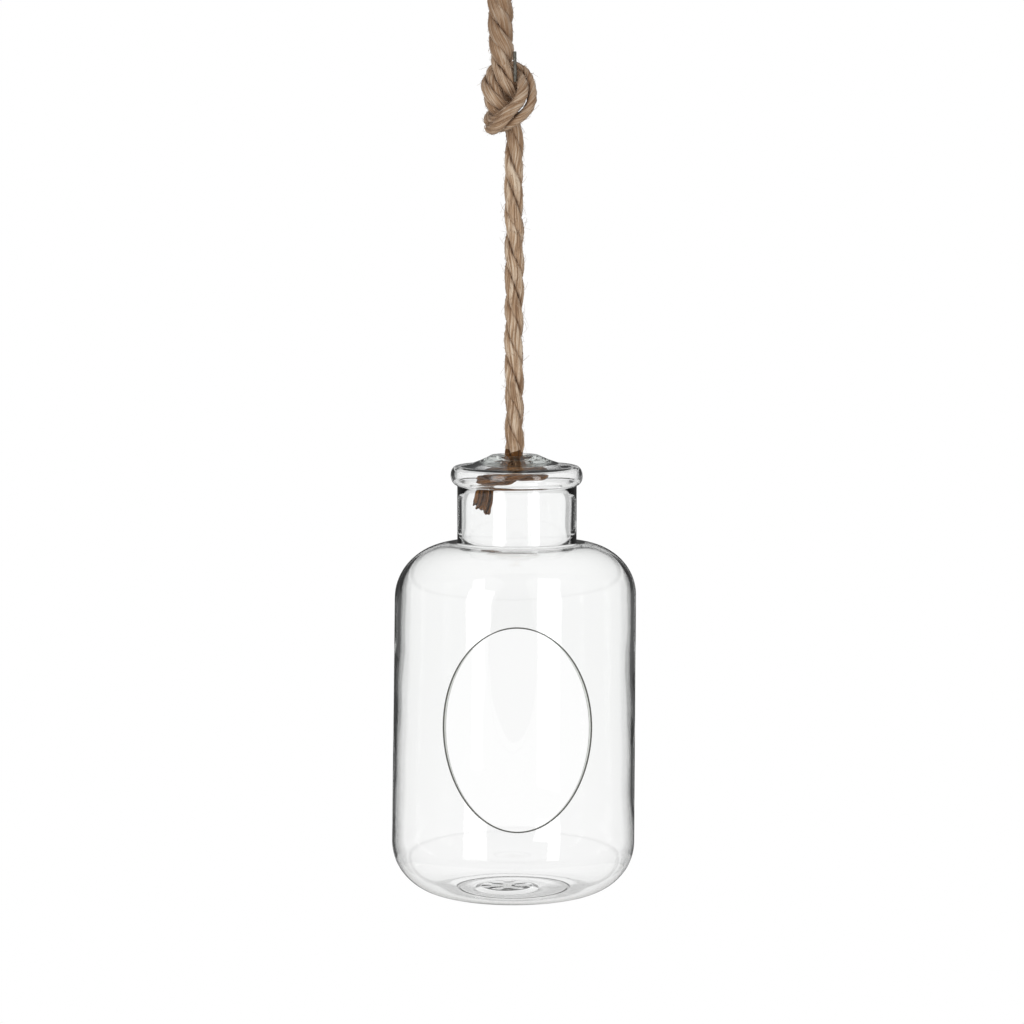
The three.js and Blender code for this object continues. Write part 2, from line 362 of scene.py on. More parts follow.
@dataclass(frozen=True)
class LaidJute:
    """Jute fibre, spun and laid into rope: matt golden-brown streaks along the yarns, painted shade between
    the strands.
    """

    name: str
    shade_colour: str
    dull: str
    body: str
    light: str
    roughness: float
    fibre_width: float = 0.4
    fibre_length: float = 8.0
    yarn_width: float = 1.1
    yarn_length: float = 30.0
    patch_length: float = 14.0
    relief: float = 0.8
    shade_gain: float = 1.8

    def material(self) -> bpy.types.Material:
        """Builds the fibre from streaks that follow each strand's own yarns.

        Returns:
            The material.
        """
        made, tree, output = empty_material(self.name)
        fibre = add_node(tree, "ShaderNodeAttribute", attribute_name="fibre")
        layers = []
        for width, length in ((self.fibre_width, self.fibre_length), (self.yarn_width, self.yarn_length)):
            across, along = 1 / (width * MM), 1 / (length * MM)
            stretched = add_node(
                tree,
                "ShaderNodeMapping",
                {"Vector": fibre.outputs["Vector"], "Scale": (across, across, along)},
            )
            layers.append(
                add_node(
                    tree,
                    "ShaderNodeTexNoise",
                    {"Vector": stretched.outputs[0], "Scale": 1.0, "Detail": 1.5, "Roughness": 0.6},
                )
            )
        # Single fibres are finer than a pixel, so they are drawn thicker, over the yarns they are spun into.
        streaks = add_node(
            tree,
            "ShaderNodeMix",
            {0: 0.5, 2: layers[0].outputs["Fac"], 3: layers[1].outputs["Fac"]},
        )
        patches = add_node(
            tree,
            "ShaderNodeTexNoise",
            {"Vector": fibre.outputs["Vector"], "Scale": 1 / (self.patch_length * MM), "Detail": 1.0},
        )
        blend = add_node(
            tree,
            "ShaderNodeMix",
            {0: 0.2, 2: streaks.outputs[0], 3: patches.outputs["Fac"]},
        )
        colour = add_node(
            tree,
            "ShaderNodeValToRGB",
            {0: blend.outputs[0]},
            stops=[(0.41, self.dull), (0.59, self.light), (0.5, self.body)],
        )
        # Painted shade: the mesh marks the hollows between the strands and the rope's top, and these mix, in
        # patches, towards the darkest colour.
        shade_mask = add_node(tree, "ShaderNodeAttribute", attribute_name="shade_mask")
        patchy = add_node(
            tree,
            "ShaderNodeMath",
            {0: layers[1].outputs["Fac"], 1: shade_mask.outputs["Fac"]},
            operation="MULTIPLY",
        )
        painted_shade = add_node(
            tree,
            "ShaderNodeMath",
            {0: patchy.outputs[0], 1: self.shade_gain},
            operation="MULTIPLY",
            use_clamp=True,
        )
        shaded = add_node(
            tree,
            "ShaderNodeMix",
            {0: painted_shade.outputs[0], 6: colour.outputs["Color"], 7: linear(self.shade_colour)},
            data_type="RGBA",
        )
        bump = add_node(
            tree,
            "ShaderNodeBump",
            {"Strength": 0.9, "Distance": self.relief * MM, "Height": streaks.outputs[0]},
        )
        shader = add_node(
            tree,
            "ShaderNodeBsdfPrincipled",
            {
                "Base Color": shaded.outputs[2],
                "Roughness": self.roughness,
                "Specular IOR Level": 0.25,
                "Sheen Weight": 0.15,
                "Sheen Roughness": 0.5,
                "Normal": bump.outputs[0],
            },
        )
        tree.links.new(shader.outputs[0], output.inputs["Surface"])
        return made


@dataclass(frozen=True)
class AnnealedWire:
    """Mild steel tie wire, drawn and annealed: a dull dark-grey scale, a little lighter where rubbed."""

    name: str = "annealed_steel_wire"
    dark: str = "#5e5c54"
    rubbed: str = "#8f8c84"
    patch: float = 1.5
    scale_depth: float = 0.1

    def material(self) -> bpy.types.Material:
        """Builds the oxide scale with its rubbed patches.

        Returns:
            The material.
        """
        made, tree, output = empty_material(self.name)
        place = add_node(tree, "ShaderNodeTexCoord")
        patches = add_node(
            tree,
            "ShaderNodeTexNoise",
            {"Vector": place.outputs["Object"], "Scale": 1 / (self.patch * MM), "Detail": 3.0},
        )
        colour = add_node(
            tree,
            "ShaderNodeValToRGB",
            {0: patches.outputs["Fac"]},
            stops=[(0.4, self.dark), (0.65, self.rubbed)],
        )
        bump = add_node(
            tree,
            "ShaderNodeBump",
            {"Strength": 0.4, "Distance": self.scale_depth * MM, "Height": patches.outputs["Fac"]},
        )
        shader = add_node(
            tree,
            "ShaderNodeBsdfPrincipled",
            {
                "Base Color": colour.outputs[0],
                "Metallic": 0.6,
                "Roughness": 0.5,
                "Normal": bump.outputs[0],
            },
        )
        tree.links.new(shader.outputs[0], output.inputs["Surface"])
        return made


CUT_FACE = GroundGlass(name="ground_glass_cut", colour="#f2f5f0", roughness=0.6)
# The broken corners are painted dark grey: painted shade that draws dark lines along the window's cut edge.
ARRIS = GroundGlass(name="shaded_ground_glass_arris", colour="#5e5e5a", roughness=0.35)
# Each jute's first, darkest colour is painted shade, mixed in where the mesh marks it.
NATURAL_JUTE = LaidJute(
    name="laid_jute_fibre",
    shade_colour="#6a4628",
    dull="#8d6e54",
    body="#bb9b7c",
    light="#e6d2ba",
    roughness=0.85,
)
SOAKED_JUTE = LaidJute(
    name="soaked_jute_fibre",
    shade_colour="#241204",
    dull="#3c2204",
    body="#5c3606",
    light="#7a4c0e",
    roughness=0.6,
)


@dataclass
class RopeLine:
    """The rope's centre line, with a frame, a thickness and the turn of its strands at each point."""

    points: np.ndarray
    thickness: np.ndarray
    lay: np.ndarray
    along: np.ndarray = field(init=False)
    forward: np.ndarray = field(init=False)
    side: np.ndarray = field(init=False)
    other: np.ndarray = field(init=False)
    turn: np.ndarray = field(init=False)
    bend: np.ndarray = field(init=False)

    def __post_init__(self) -> None:
        """Carries a frame along the line without twist, and turns the strands left-handed."""
        self.along = lengths_along(self.points)
        self.forward = unit(np.gradient(self.points, self.along, axis=0))
        self.bend = np.gradient(self.forward, self.along, axis=0)
        self.side = np.zeros_like(self.points)
        self.side[0] = unit(np.cross(self.forward[0], (0.0, 1.0, 0.0)))
        for i in range(1, len(self.points)):
            carried = self.side[i - 1] - self.forward[i] * (self.side[i - 1] @ self.forward[i])
            self.side[i] = unit(carried)
        self.other = np.cross(self.forward, self.side)
        self.turn = -summed_along(FULL_TURN / self.lay, self.along)

    def between(self, first: float, last: float) -> slice:
        """Gives the points from one length along the rope to another."""
        start = int(np.searchsorted(self.along, first - 1e-9))
        stop = int(np.searchsorted(self.along, last - 1e-9)) + 1
        return slice(start, min(stop, len(self.along)))


@dataclass
class FibreMesh:
    """Tubes gathered for one rope piece, with the yarn places and the painted shade its material reads (mm).
    """

    points: list[np.ndarray] = field(default_factory=list)
    facings: list[np.ndarray] = field(default_factory=list)
    fibres: list[np.ndarray] = field(default_factory=list)
    shade_masks: list[np.ndarray] = field(default_factory=list)
    faces: list[tuple[int, ...]] = field(default_factory=list)
    count: int = 0

    def add(self, rings: np.ndarray, facing: np.ndarray, fibre: np.ndarray, shade_mask: np.ndarray) -> None:
        """Adds one closed tube.

        Args:
            rings: its points, ring by ring.
            facing: the way each point faces.
            fibre: each point's place in its straightened yarn.
            shade_mask: how much painted shade each point takes, from its depth between the strands, 0 to 1.
        """
        rows, sides = rings.shape[:2]
        self.faces += grid_faces(rows, sides, self.count)
        self.points.append(rings.reshape(-1, 3))
        self.facings.append(unit(facing).reshape(-1, 3))
        self.fibres.append(fibre.reshape(-1, 3))
        self.shade_masks.append(shade_mask.ravel())
        self.count += rows * sides

    def add_thread(self, line: np.ndarray, radius: np.ndarray, place: np.ndarray, sides: int) -> None:
        """Adds a thin round thread along a line.

        Args:
            line: the thread's points.
            radius: its radius at each point.
            place: its yarn place at the start.
            sides: how many corners its outline has.
        """
        forward = unit(np.gradient(line, axis=0))
        side = unit(np.cross(forward, unit(forward[:1] + (0.31, 0.52, 0.17))))
        other = np.cross(forward, side)
        around = np.linspace(0, FULL_TURN, sides, endpoint=False)
        facing = np.cos(around)[:, None] * side[:, None] + np.sin(around)[:, None] * other[:, None]
        along = lengths_along(line)[:, None] / radius[:, None]
        spots = np.broadcast_arrays(np.cos(around)[None, :], np.sin(around)[None, :], along)
        fibre = place + radius[:, None, None] * np.stack(spots, -1)
        self.add(line[:, None] + radius[:, None, None] * facing, facing, fibre, np.zeros(len(line) * sides))

    def make(self, name: str) -> bpy.types.Object:
        """Turns the gathered tubes into one piece.

        Args:
            name: the piece's name.

        Returns:
            The piece.
        """
        piece = new_piece(name, np.vstack(self.points) * MM, self.faces)
        piece.data.normals_split_custom_set_from_vertices(np.vstack(self.facings))
        keep_on_points(piece, "fibre", np.vstack(self.fibres) * MM)
        keep_on_points(piece, "shade_mask", np.concatenate(self.shade_masks))
        return piece


@dataclass
class JuteRope:
    """The one rope: eye, splice, top knot, run, soaked end, stopper knot and tail, in millimetres."""

    axis_shift: float = 6.8
    eye_bend: float = 20.0
    eye_centre: float = -15.0
    eye_length: float = 78.0
    throat_half: float = 1.7
    throat_height: float = -68.3
    throat_entry: float = 0.6
    throat_drop: float = 5.5
    splice_taper: float = 3.0
    knot_centre: tuple[float, float, float] = (-1.5, 0.0, -135.9)
    knot_size: float = 10.0
    knot_end: float = -158.9
    soaked_start: float = -323.5
    stopper_top: float = -333.2
    stopper_size: float = 6.8
    rope_diameter: float = 10.2
    splice_diameter: float = 13.4
    knot_diameter: float = 9.6
    stopper_diameter: float = 6.8
    tail_diameter: float = 8.8
    declared_diameter: float = 10.0
    declared_tight: float = 7.5
    eye_overrun: float = 5.2
    knot_overrun: float = 41.1
    run_lay: float = 48.0
    splice_lay: float = 34.0
    stopper_lay: float = 26.0
    step: float = 0.6
    sides: int = 18
    strand_offset: float = 0.262
    strand_depth: float = 0.235
    strand_breadth: float = 0.285
    bend_limit: float = 0.6
    bend_room: float = 0.25
    groove_bottom: float = 0.5
    groove_top: float = 0.92
    # Painted shade towards the rope's top, where the light falls off: its share at the splice and on the top
    # knot.
    splice_shade: float = 0.4
    knot_shade: float = 0.22
    pattern_shift: float = 20.0
    yarns: int = 6
    yarn_relief: float = 0.08
    ridge: float = 0.014
    ridge_length: float = 2.2
    sways: tuple[tuple[float, float, float], ...] = ((-184.0, 16.0, -0.5), (-264.0, 14.0, -0.45))
    yarn_turn: float = 27.0
    opening: float = 2.2
    lobe_lay: float = 150.0
    hairs_per_mm: float = 9.0
    hair_radius: float = 0.1
    hair_length: float = 2.4
    longest_hair: float = 7.0
    tail_yarns: int = 24
    yarn_radius: float = 0.76
    line: RopeLine = field(init=False)
    marks: dict[str, float] = field(init=False)
    knot_marks: np.ndarray = field(init=False)

    # The heights of the hinges and the twist: first and last height, in metres.
    EYE_HINGE = (-0.073, -0.082)
    KNOT_HINGE = (-0.157, -0.168)
    TWIST = (-0.215, -0.271)
    # Routes and outlines, listed point by point. The knots' are in units of the knot's own size.
    SPLICE = ((-6.8, 0, -78.0), (-7.6, 0, -86.0), (-7.5, 0, -97.0), (-7.0, 0, -106.0), (-6.8, 0, -112.9))
    TOP_KNOT = (
        (-0.53, 0, 2.3), (-0.52, -0.01, 1.75), (-0.36, -0.18, 1.15), (-0.16, -0.05, 0.55),
        (-0.05, 0.42, 0.05), (-0.26, 0.84, -0.36), (-0.72, 0.74, -0.76), (-0.98, 0.2, -1.18),
        (-0.92, -0.5, -1.42), (-0.49, -1.16, -1.24), (0.02, -1.34, -0.76), (0.42, -1.18, -0.3),
        (0.66, -0.78, 0.2), (0.74, -0.2, 0.7), (0.62, 0.42, 1.14), (0.25, 0.87, 1.45),
        (-0.28, 1.0, 1.6), (-0.82, 0.82, 1.44), (-1.12, 0.32, 0.98), (-1.06, -0.32, 0.26),
        (-0.74, -0.46, -0.34), (-0.14, -0.22, -0.9), (0.15, -0.01, -1.7), (0.15, 0, -2.3),
    )
    FIBRE_LOOP = (
        (-13.4, -7.6, -148.2), (-15.2, -8.4, -149.8), (-15.9, -8.6, -151.2), (-15.0, -8.8, -152.7),
        (-13.2, -9.2, -153.3), (-11.6, -9.4, -153.4),
    )
    # The strand that stands off the knot's right lobe: the route's points it spans, and its way out.
    LOOSE_STRAND = (8, 11, 14)
    LOOSE_WAY = (0.8, 0.0, -0.6)
    # How much wider the knot's rope is pressed, at points of its route.
    SPREAD = (
        (0, 1.0), (2, 1.05), (3, 1.1), (4, 1.0), (6, 1.2), (7, 1.1), (9, 1.12), (12, 1.1),
        (14, 1.0), (18, 1.0), (19, 1.08), (20, 1.15), (21, 1.0),
    )
    # The strands' uneven laying: reach in radians, length in millimetres, shift from strand to strand.
    WANDER = ((0.12, 7.3, 2.1), (0.08, 3.7, 1.0))
    STOPPER_KNOT = (
        (0, 0, 0), (-0.05, 0, -0.5), (-0.45, -0.3, -1.1), (-1.1, -0.72, -1.42),
        (-1.95, -0.62, -1.45), (-2.56, 0.1, -1.27), (-2.4, 1.0, -0.92), (-1.65, 1.42, -0.62),
        (-0.7, 1.42, -0.5), (0.5, 1.25, -0.5), (1.6, 0.95, -0.52), (2.2, 0.15, -0.56),
        (2.0, -0.65, -0.55), (1.2, -1.15, -0.5), (0.3, -1.3, -0.5), (-0.5, -1.35, -0.5),
        (-1.25, -1.0, -0.5), (-1.56, -0.18, -0.6), (-1.6, 0.36, -1.15), (-1.75, 0.62, -1.6),
    )
    TAIL = (
        (-1.75, 0.62, -1.6), (-1.9, 0.84, -2.0), (-2.25, 0.9, -2.45), (-2.55, 0.75, -2.95),
        (-2.75, 0.6, -3.42),
    )

    def __post_init__(self) -> None:
        """Lays the whole rope out as one line, so that its strands run on from piece to piece."""
        under_dome = (0, 0, self.stopper_top)
        stretches = {
            "eye": self.eye_route(),
            "splice": through_points(np.array(self.SPLICE)),
            "knot": through_points(np.array(self.TOP_KNOT) * self.knot_size + self.knot_centre),
            "run": self.run_route(),
            "stopper": through_points(np.array(self.STOPPER_KNOT) * self.stopper_size + under_dome),
            "tail": through_points(np.array(self.TAIL) * self.stopper_size + under_dome),
        }
        whole, ends, length = [], {}, 0.0
        for name, points in stretches.items():
            points = points if not whole else points[1:]
            joined = points if not whole else np.vstack([whole[-1][-1:], points])
            length += np.linalg.norm(np.diff(joined, axis=0), axis=1).sum()
            ends[name] = length
            whole.append(points)
        points = even_steps(np.vstack(whole), self.step)
        along = np.linspace(0, length, len(points))
        knot = stretches["knot"]
        walked = ends["splice"] + lengths_along(knot)
        self.marks = ends
        self.knot_marks = walked[:: (len(knot) - 1) // (len(self.TOP_KNOT) - 1)]
        self.line = RopeLine(points, self.thickness_at(along), self.lay_at(along))
        self.turn_lobe_outward()

    def eye_route(self) -> np.ndarray:
        """Runs up the tucked leg, over the hook's bend and down the standing leg to the splice.

        Returns:
            The route, tilted about the hook so that the splice hangs beside the bottle's axis.
        """
        foot = np.array([self.throat_half, self.throat_height])
        centre = np.array([0, self.eye_centre])
        span = np.linalg.norm(foot - centre)
        lean = math.atan2(foot[0] - centre[0], centre[1] - foot[1])
        reach = lean - math.acos(self.eye_bend / span) + math.pi / 2
        arc = np.linspace(-reach, math.pi + reach, 40)
        bend = [(self.eye_bend * math.cos(a), self.eye_centre + self.eye_bend * math.sin(a)) for a in arc]
        down = [(-x, z) for x, z in bend]
        flat = [(-self.throat_half, self.throat_height), *down, (self.throat_half, self.throat_height)]
        flat.append((self.throat_entry, self.throat_height - self.throat_drop))
        tilt = math.atan2(self.axis_shift, self.eye_length)
        cosine, sine = math.cos(tilt), math.sin(tilt)
        turned = [(x * cosine + z * sine, 0.0, z * cosine - x * sine) for x, z in flat]
        turned.append((-self.axis_shift, 0.0, -self.eye_length))
        return np.array(turned)

    def run_route(self) -> np.ndarray:
        """Runs straight down to the dome, but for the slight sway a coiled rope keeps.

        Returns:
            The route.
        """
        height = np.linspace(self.knot_end, self.stopper_top, 90)
        aside = sum(reach * np.exp(-(((height - middle) / half) ** 2)) for middle, half, reach in self.sways)
        return np.column_stack([aside, 0 * height, height])

    def turn_lobe_outward(self) -> None:
        """Turns the whole lay so that one strand lies on the outside of the knot's right lobe."""
        line = self.line
        at = int(np.searchsorted(line.along, self.knot_marks[self.LOOSE_STRAND[1]]))
        wanted = np.array(self.LOOSE_WAY)
        angle = math.atan2(wanted @ line.other[at], wanted @ line.side[at])
        line.turn += angle - line.turn[at]

    def thickness_at(self, along: np.ndarray) -> np.ndarray:
        """Gives the rope's thickness from stretch to stretch.

        Args:
            along: the length along the rope at each point.

        Returns:
            The thickness at each point.
        """
        ends, thick = self.marks, self.rope_diameter
        for end, before, after, change in (
            ("eye", -16, -6, self.splice_diameter - self.rope_diameter),
            ("splice", -self.splice_taper, 8, self.knot_diameter - self.splice_diameter),
            ("knot", -8, 6, self.rope_diameter - self.knot_diameter),
            ("run", -1, 5, self.stopper_diameter - self.rope_diameter),
        ):
            thick = thick + change * smooth_step(ends[end] + before, ends[end] + after, along)
        frayed = smooth_step(ends["stopper"], ends["tail"], along)
        return thick + (self.tail_diameter - self.stopper_diameter) * frayed

    def lay_at(self, along: np.ndarray) -> np.ndarray:
        """Gives the length of one full turn of the strands from stretch to stretch.

        Args:
            along: the length along the rope at each point.

        Returns:
            The lay length at each point.
        """
        ends = self.marks
        spliced = smooth_step(ends["eye"] - 12, ends["eye"], along)
        opened = smooth_step(ends["splice"], ends["splice"] + 10, along)
        tight = smooth_step(ends["run"], ends["run"] + 8, along)
        lay = self.run_lay + (self.splice_lay - self.run_lay) * (spliced - opened)
        first, last = self.knot_marks[self.LOOSE_STRAND[0]], self.knot_marks[self.LOOSE_STRAND[2]]
        loose = smooth_step(first - 4, first + 4, along) - smooth_step(last - 4, last + 4, along)
        lay = lay + (self.lobe_lay - self.run_lay) * loose
        return lay + (self.stopper_lay - self.run_lay) * tight

    def top_shade_at(self, along: np.ndarray) -> np.ndarray:
        """Gives the painted shade towards the rope's top, where the light falls off: most at the splice, a
        little on the top knot.
        """
        clean = smooth_step(self.marks["splice"] - 4, self.marks["splice"] + 8, along)
        fresh = smooth_step(self.marks["knot"] - 10, self.marks["knot"] + 25, along)
        return self.splice_shade * (1 - clean) + self.knot_shade * (clean - fresh)

    def spread_at(self, along: np.ndarray) -> np.ndarray:
        """Gives how much wider the pressed rope lies, seen from the front, along the top knot."""
        places, widths = zip(*self.SPREAD)
        return np.interp(along, self.knot_marks[list(places)], widths, left=1.0, right=1.0)

    def strands(self, first: float, last: float) -> FibreMesh:
        """Lays the three strands of one stretch of the rope.

        Args:
            first: where the stretch starts, in millimetres along the rope.
            last: where it ends.

        Returns:
            The strands, each with its straightened yarn places and its painted shade.
        """
        line = self.line
        part = line.between(first, last)
        thick = line.thickness[:, None, None]
        laid = FibreMesh()
        for strand in range(3):
            ring, turned = self.strand_rings(strand)
            facing = np.cross(np.roll(ring, -1, 1) - np.roll(ring, 1, 1), np.gradient(ring, axis=0))
            offset = ring - line.points[:, None]
            offset = offset - (offset * line.forward[:, None]).sum(-1, keepdims=True) * line.forward[:, None]
            depth = np.linalg.norm(offset, axis=-1) / (0.5 * thick[..., 0])
            radius = 0.25 * thick[..., 0]
            along = line.along[:, None] + 0 * turned
            place = np.stack([radius * np.cos(turned), radius * np.sin(turned), along], -1)
            # Painted shade: darkest low between the strands, and darker towards the rope's top.
            shade_mask = 1 - smooth_step(self.groove_bottom, self.groove_top, depth[part])
            shade_mask = shade_mask + (1 - shade_mask) * self.top_shade_at(along[part])
            place = place[part] + (self.pattern_shift * strand, 0, 0)
            laid.add(ring[part], facing[part], place, shade_mask)
        return laid

    def stray_fibres(self, first: float, last: float, seed: int) -> FibreMesh:
        """Lets short fibre ends stand off the strands of one stretch, as spun jute does.

        Args:
            first: where the stretch starts, in millimetres along the rope.
            last: where it ends.
            seed: the seed of the fibres' places and curls.

        Returns:
            The fibres.
        """
        chance = np.random.default_rng(seed)
        line = self.line
        rings = [self.strand_rings(strand)[0] for strand in range(3)]
        part = line.between(first, last)
        share = np.linspace(0, 1, 5)[:, None]
        stray = FibreMesh()
        for _ in range(round((last - first) * self.hairs_per_mm)):
            at = int(chance.integers(part.start, part.stop))
            root = rings[chance.integers(3)][at, chance.integers(self.sides)]
            out = unit(root - line.points[at])
            way = chance.normal(0, 0.5)
            down = line.forward[at] * chance.choice((-1, 1))
            lies = unit(down * math.cos(way) + np.cross(down, out) * math.sin(way))
            long = min(self.hair_length * chance.lognormal(0, 0.5), self.longest_hair)
            lift, curl = chance.uniform(0.1, 0.8), chance.normal(0, 0.35)
            rise = out * (lift * share * (1 - 0.4 * share)) + np.cross(lies, out) * (curl * share**2)
            thread = root - 0.15 * out + long * (lies * share + rise)
            radius = self.hair_radius * chance.uniform(0.6, 1.2) * np.linspace(1, 0.5, 5)
            stray.add_thread(thread, radius, chance.uniform(0, 90, 3), 3)
        return stray

    def frayed_tail(self, laid: FibreMesh) -> None:
        """Opens the rope's end into yarns of uneven lengths.

        Args:
            laid: the strands of the stopper knot, which take the yarns.
        """
        chance = np.random.default_rng(11)
        ends, line = self.marks, self.line
        start = ends["stopper"] - 3
        for yarn in range(self.tail_yarns):
            # Steps of the golden angle fill the round evenly.
            turn = 2.4 * yarn
            turn += 0.12 * math.sin(4 * turn)
            spot = math.sqrt((yarn + 0.5) / self.tail_yarns)
            way = math.cos(turn) * line.side + math.sin(turn) * line.other
            leftness = -float(way[-1, 0]) * spot
            stop = ends["tail"] - 0.8 - 1.4 * leftness + chance.uniform(-0.9, 0.4)
            part = line.between(start, min(stop, ends["tail"]))
            share = (line.along[part] - start) / (ends["tail"] - start)
            reach = spot * (0.36 * self.stopper_diameter + (0.5 * self.tail_diameter - 0.6) * share**1.4)
            wave = 0.25 * np.sin(line.along[part] / 1.9 + 5 * yarn) * share
            thread = line.points[part] + reach[:, None] * way[part] + wave[:, None] * line.other[part]
            radius = self.yarn_radius * (1 + 0.25 * share) * chance.uniform(0.8, 1.15)
            radius[-2:] *= (0.85, 0.55)
            laid.add_thread(thread, radius, np.array([7.0 * yarn, 0, 0]), 8)

    def strand_rings(self, strand: int) -> tuple[np.ndarray, np.ndarray]:
        """Sweeps one strand's lumpy outline along the whole rope.

        Args:
            strand: 0, 1 or 2.

        Returns:
            The rings of points, and the angle of each point round its yarns.
        """
        line = self.line
        around = np.linspace(0, FULL_TURN, self.sides, endpoint=False)
        centres, outward, sideways = self.strand_frames(strand)
        thick = line.thickness[:, None, None]
        turned = around[None, :] - (line.along * FULL_TURN / self.yarn_turn)[:, None]
        lumps = 1 + self.yarn_relief * np.cos(self.yarns * turned) + self.ridges(strand)
        radial = (self.strand_depth * np.cos(around)[None, :] * lumps)[..., None]
        breadth = (self.strand_breadth * np.sin(around)[None, :] * lumps)[..., None]
        ring = centres[:, None] + thick * (radial * outward[:, None] + breadth * sideways[:, None])
        across = unit(np.cross(line.forward, (0.0, -1.0, 0.0)))[:, None]
        sideward = ((ring - line.points[:, None]) * across).sum(-1, keepdims=True) * across
        pressed = ring + sideward * (self.spread_at(line.along) - 1)[:, None, None]
        return self.held_off_bend(pressed), turned

    def ridges(self, strand: int) -> np.ndarray:
        """Roughens a strand with bundles of fibres that run along it.

        Args:
            strand: 0, 1 or 2.

        Returns:
            How much each point of the strand's outline stands out, as a share of its radius.
        """
        rough = np.random.default_rng(40 + strand).normal(size=(len(self.line.along), self.sides))
        spread = self.ridge_length / self.step
        weight = np.exp(-0.5 * (np.arange(-3 * spread, 3 * spread + 1) / spread) ** 2)
        weight /= np.sqrt((weight**2).sum())
        smooth = np.column_stack([np.convolve(rough[:, j], weight, "same") for j in range(self.sides)])
        return 2 * self.ridge * smooth

    def strand_frames(self, strand: int) -> tuple[np.ndarray, np.ndarray, np.ndarray]:
        """Finds one strand's own line and its outward and sideways directions.

        Args:
            strand: 0, 1 or 2.

        Returns:
            The strand's centres, its outward directions and its sideways directions.
        """
        line = self.line
        wander = sum(reach * np.sin(line.along / long + shift * strand) for reach, long, shift in self.WANDER)
        angle = line.turn + FULL_TURN * strand / 3 + wander
        outward = np.cos(angle)[:, None] * line.side + np.sin(angle)[:, None] * line.other
        reach = self.strand_offset * line.thickness * (1 + 0.05 * np.sin(line.along / 5.1 + 1.7 * strand))
        offset = reach[:, None] * outward
        if strand == 0:
            first, _, last = self.knot_marks[list(self.LOOSE_STRAND)]
            share = np.clip((line.along - first) / (last - first), 0, 1)
            lifted = self.opening * (np.sin(math.pi * share) ** 2)[:, None]
            offset = offset + lifted * np.array(self.LOOSE_WAY)
        centres = self.held_off_bend((line.points + offset)[:, None])[:, 0]
        forward = unit(np.gradient(centres, axis=0))
        outward = unit(outward - forward * (outward * forward).sum(1, keepdims=True))
        return centres, outward, np.cross(forward, outward)

    def held_off_bend(self, ring: np.ndarray) -> np.ndarray:
        """Keeps the inside of a tight bend from folding through itself.

        Args:
            ring: the points, one row per point of the line.

        Returns:
            The points, with those beyond the bend's centre moved back.
        """
        points, bend = self.line.points[:, None], self.line.bend[:, None]
        past = ((ring - points) * bend).sum(-1, keepdims=True)
        sharp = np.maximum((bend * bend).sum(-1, keepdims=True), 1e-9)
        limit, room = self.bend_limit, self.bend_room
        eased = np.where(past > limit, limit + room * np.tanh((past - limit) / room), past)
        return ring - bend * (past - eased) / sharp

    def build(self) -> None:
        ends = self.marks
        natural, soaked = NATURAL_JUTE.material(), SOAKED_JUTE.material()
        shift = -self.axis_shift * MM
        spliced = ends["eye"] + self.eye_overrun
        lowered = ends["knot"] + self.knot_overrun
        dark = ends["run"] - (self.soaked_start - self.stopper_top)

        eye = self.strands(0.0, spliced).make("jute_eye_and_splice")
        knot = self.strands(spliced, lowered).make("jute_top_knot")
        run = self.strands(lowered, dark).make("jute_run")
        dark_end = self.strands(dark, ends["stopper"] + 1)
        self.frayed_tail(dark_end)
        stopper = dark_end.make("jute_stopper_knot_and_tail")
        eye_fuzz = self.stray_fibres(0.0, spliced, 1).make("jute_eye_stray_fibres")
        loose = self.stray_fibres(spliced, lowered, 2)
        loop = even_steps(through_points(self.FIBRE_LOOP), 0.4)
        loose.add_thread(loop, np.full(len(loop), 0.2), np.zeros(3), 6)
        knot_fuzz = loose.make("jute_top_knot_stray_fibres")
        run_fuzz = self.stray_fibres(lowered, dark, 3).make("jute_run_stray_fibres")
        for pair, above, below, aside, (start, end) in (
            ((eye, eye_fuzz), Body.EYE, Body.UPPER, shift, self.EYE_HINGE),
            ((knot, knot_fuzz), Body.UPPER, Body.MIDDLE, 0, self.KNOT_HINGE),
            ((run, run_fuzz), Body.MIDDLE, Body.LOWER, 0, self.TWIST),
        ):
            for piece in pair:
                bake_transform(piece)
        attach(stopper, Body.LOWER.value)
        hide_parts("rope_eye", "rope_splice")
        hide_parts("rope_top_knot", "rope_upper_run")
        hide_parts("rope_lower_run")
        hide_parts("rope_stopper_knot", "rope_tail")
        for piece, fuzz, first, last, far, thick, material, slot in (
            (eye, [eye_fuzz], 0.0, spliced, "object", self.declared_diameter, natural, Slot.JUTE),
            (knot, [knot_fuzz], spliced, lowered, "object", self.declared_diameter, natural, Slot.JUTE),
            (run, [run_fuzz], lowered, dark, "knot", self.declared_diameter, natural, Slot.JUTE),
            (stopper, [], dark, ends["tail"], "bare", self.declared_tight, soaked, Slot.SOAKED),
        ):
            for part in (piece, *fuzz):
                part.data.materials.append(material)
            path = self.line.points[self.line.between(first, last)] * MM
            start = path[0] if piece is not eye else path[-1]
            log.info("%s: %d points", piece.name, len(piece.data.vertices))


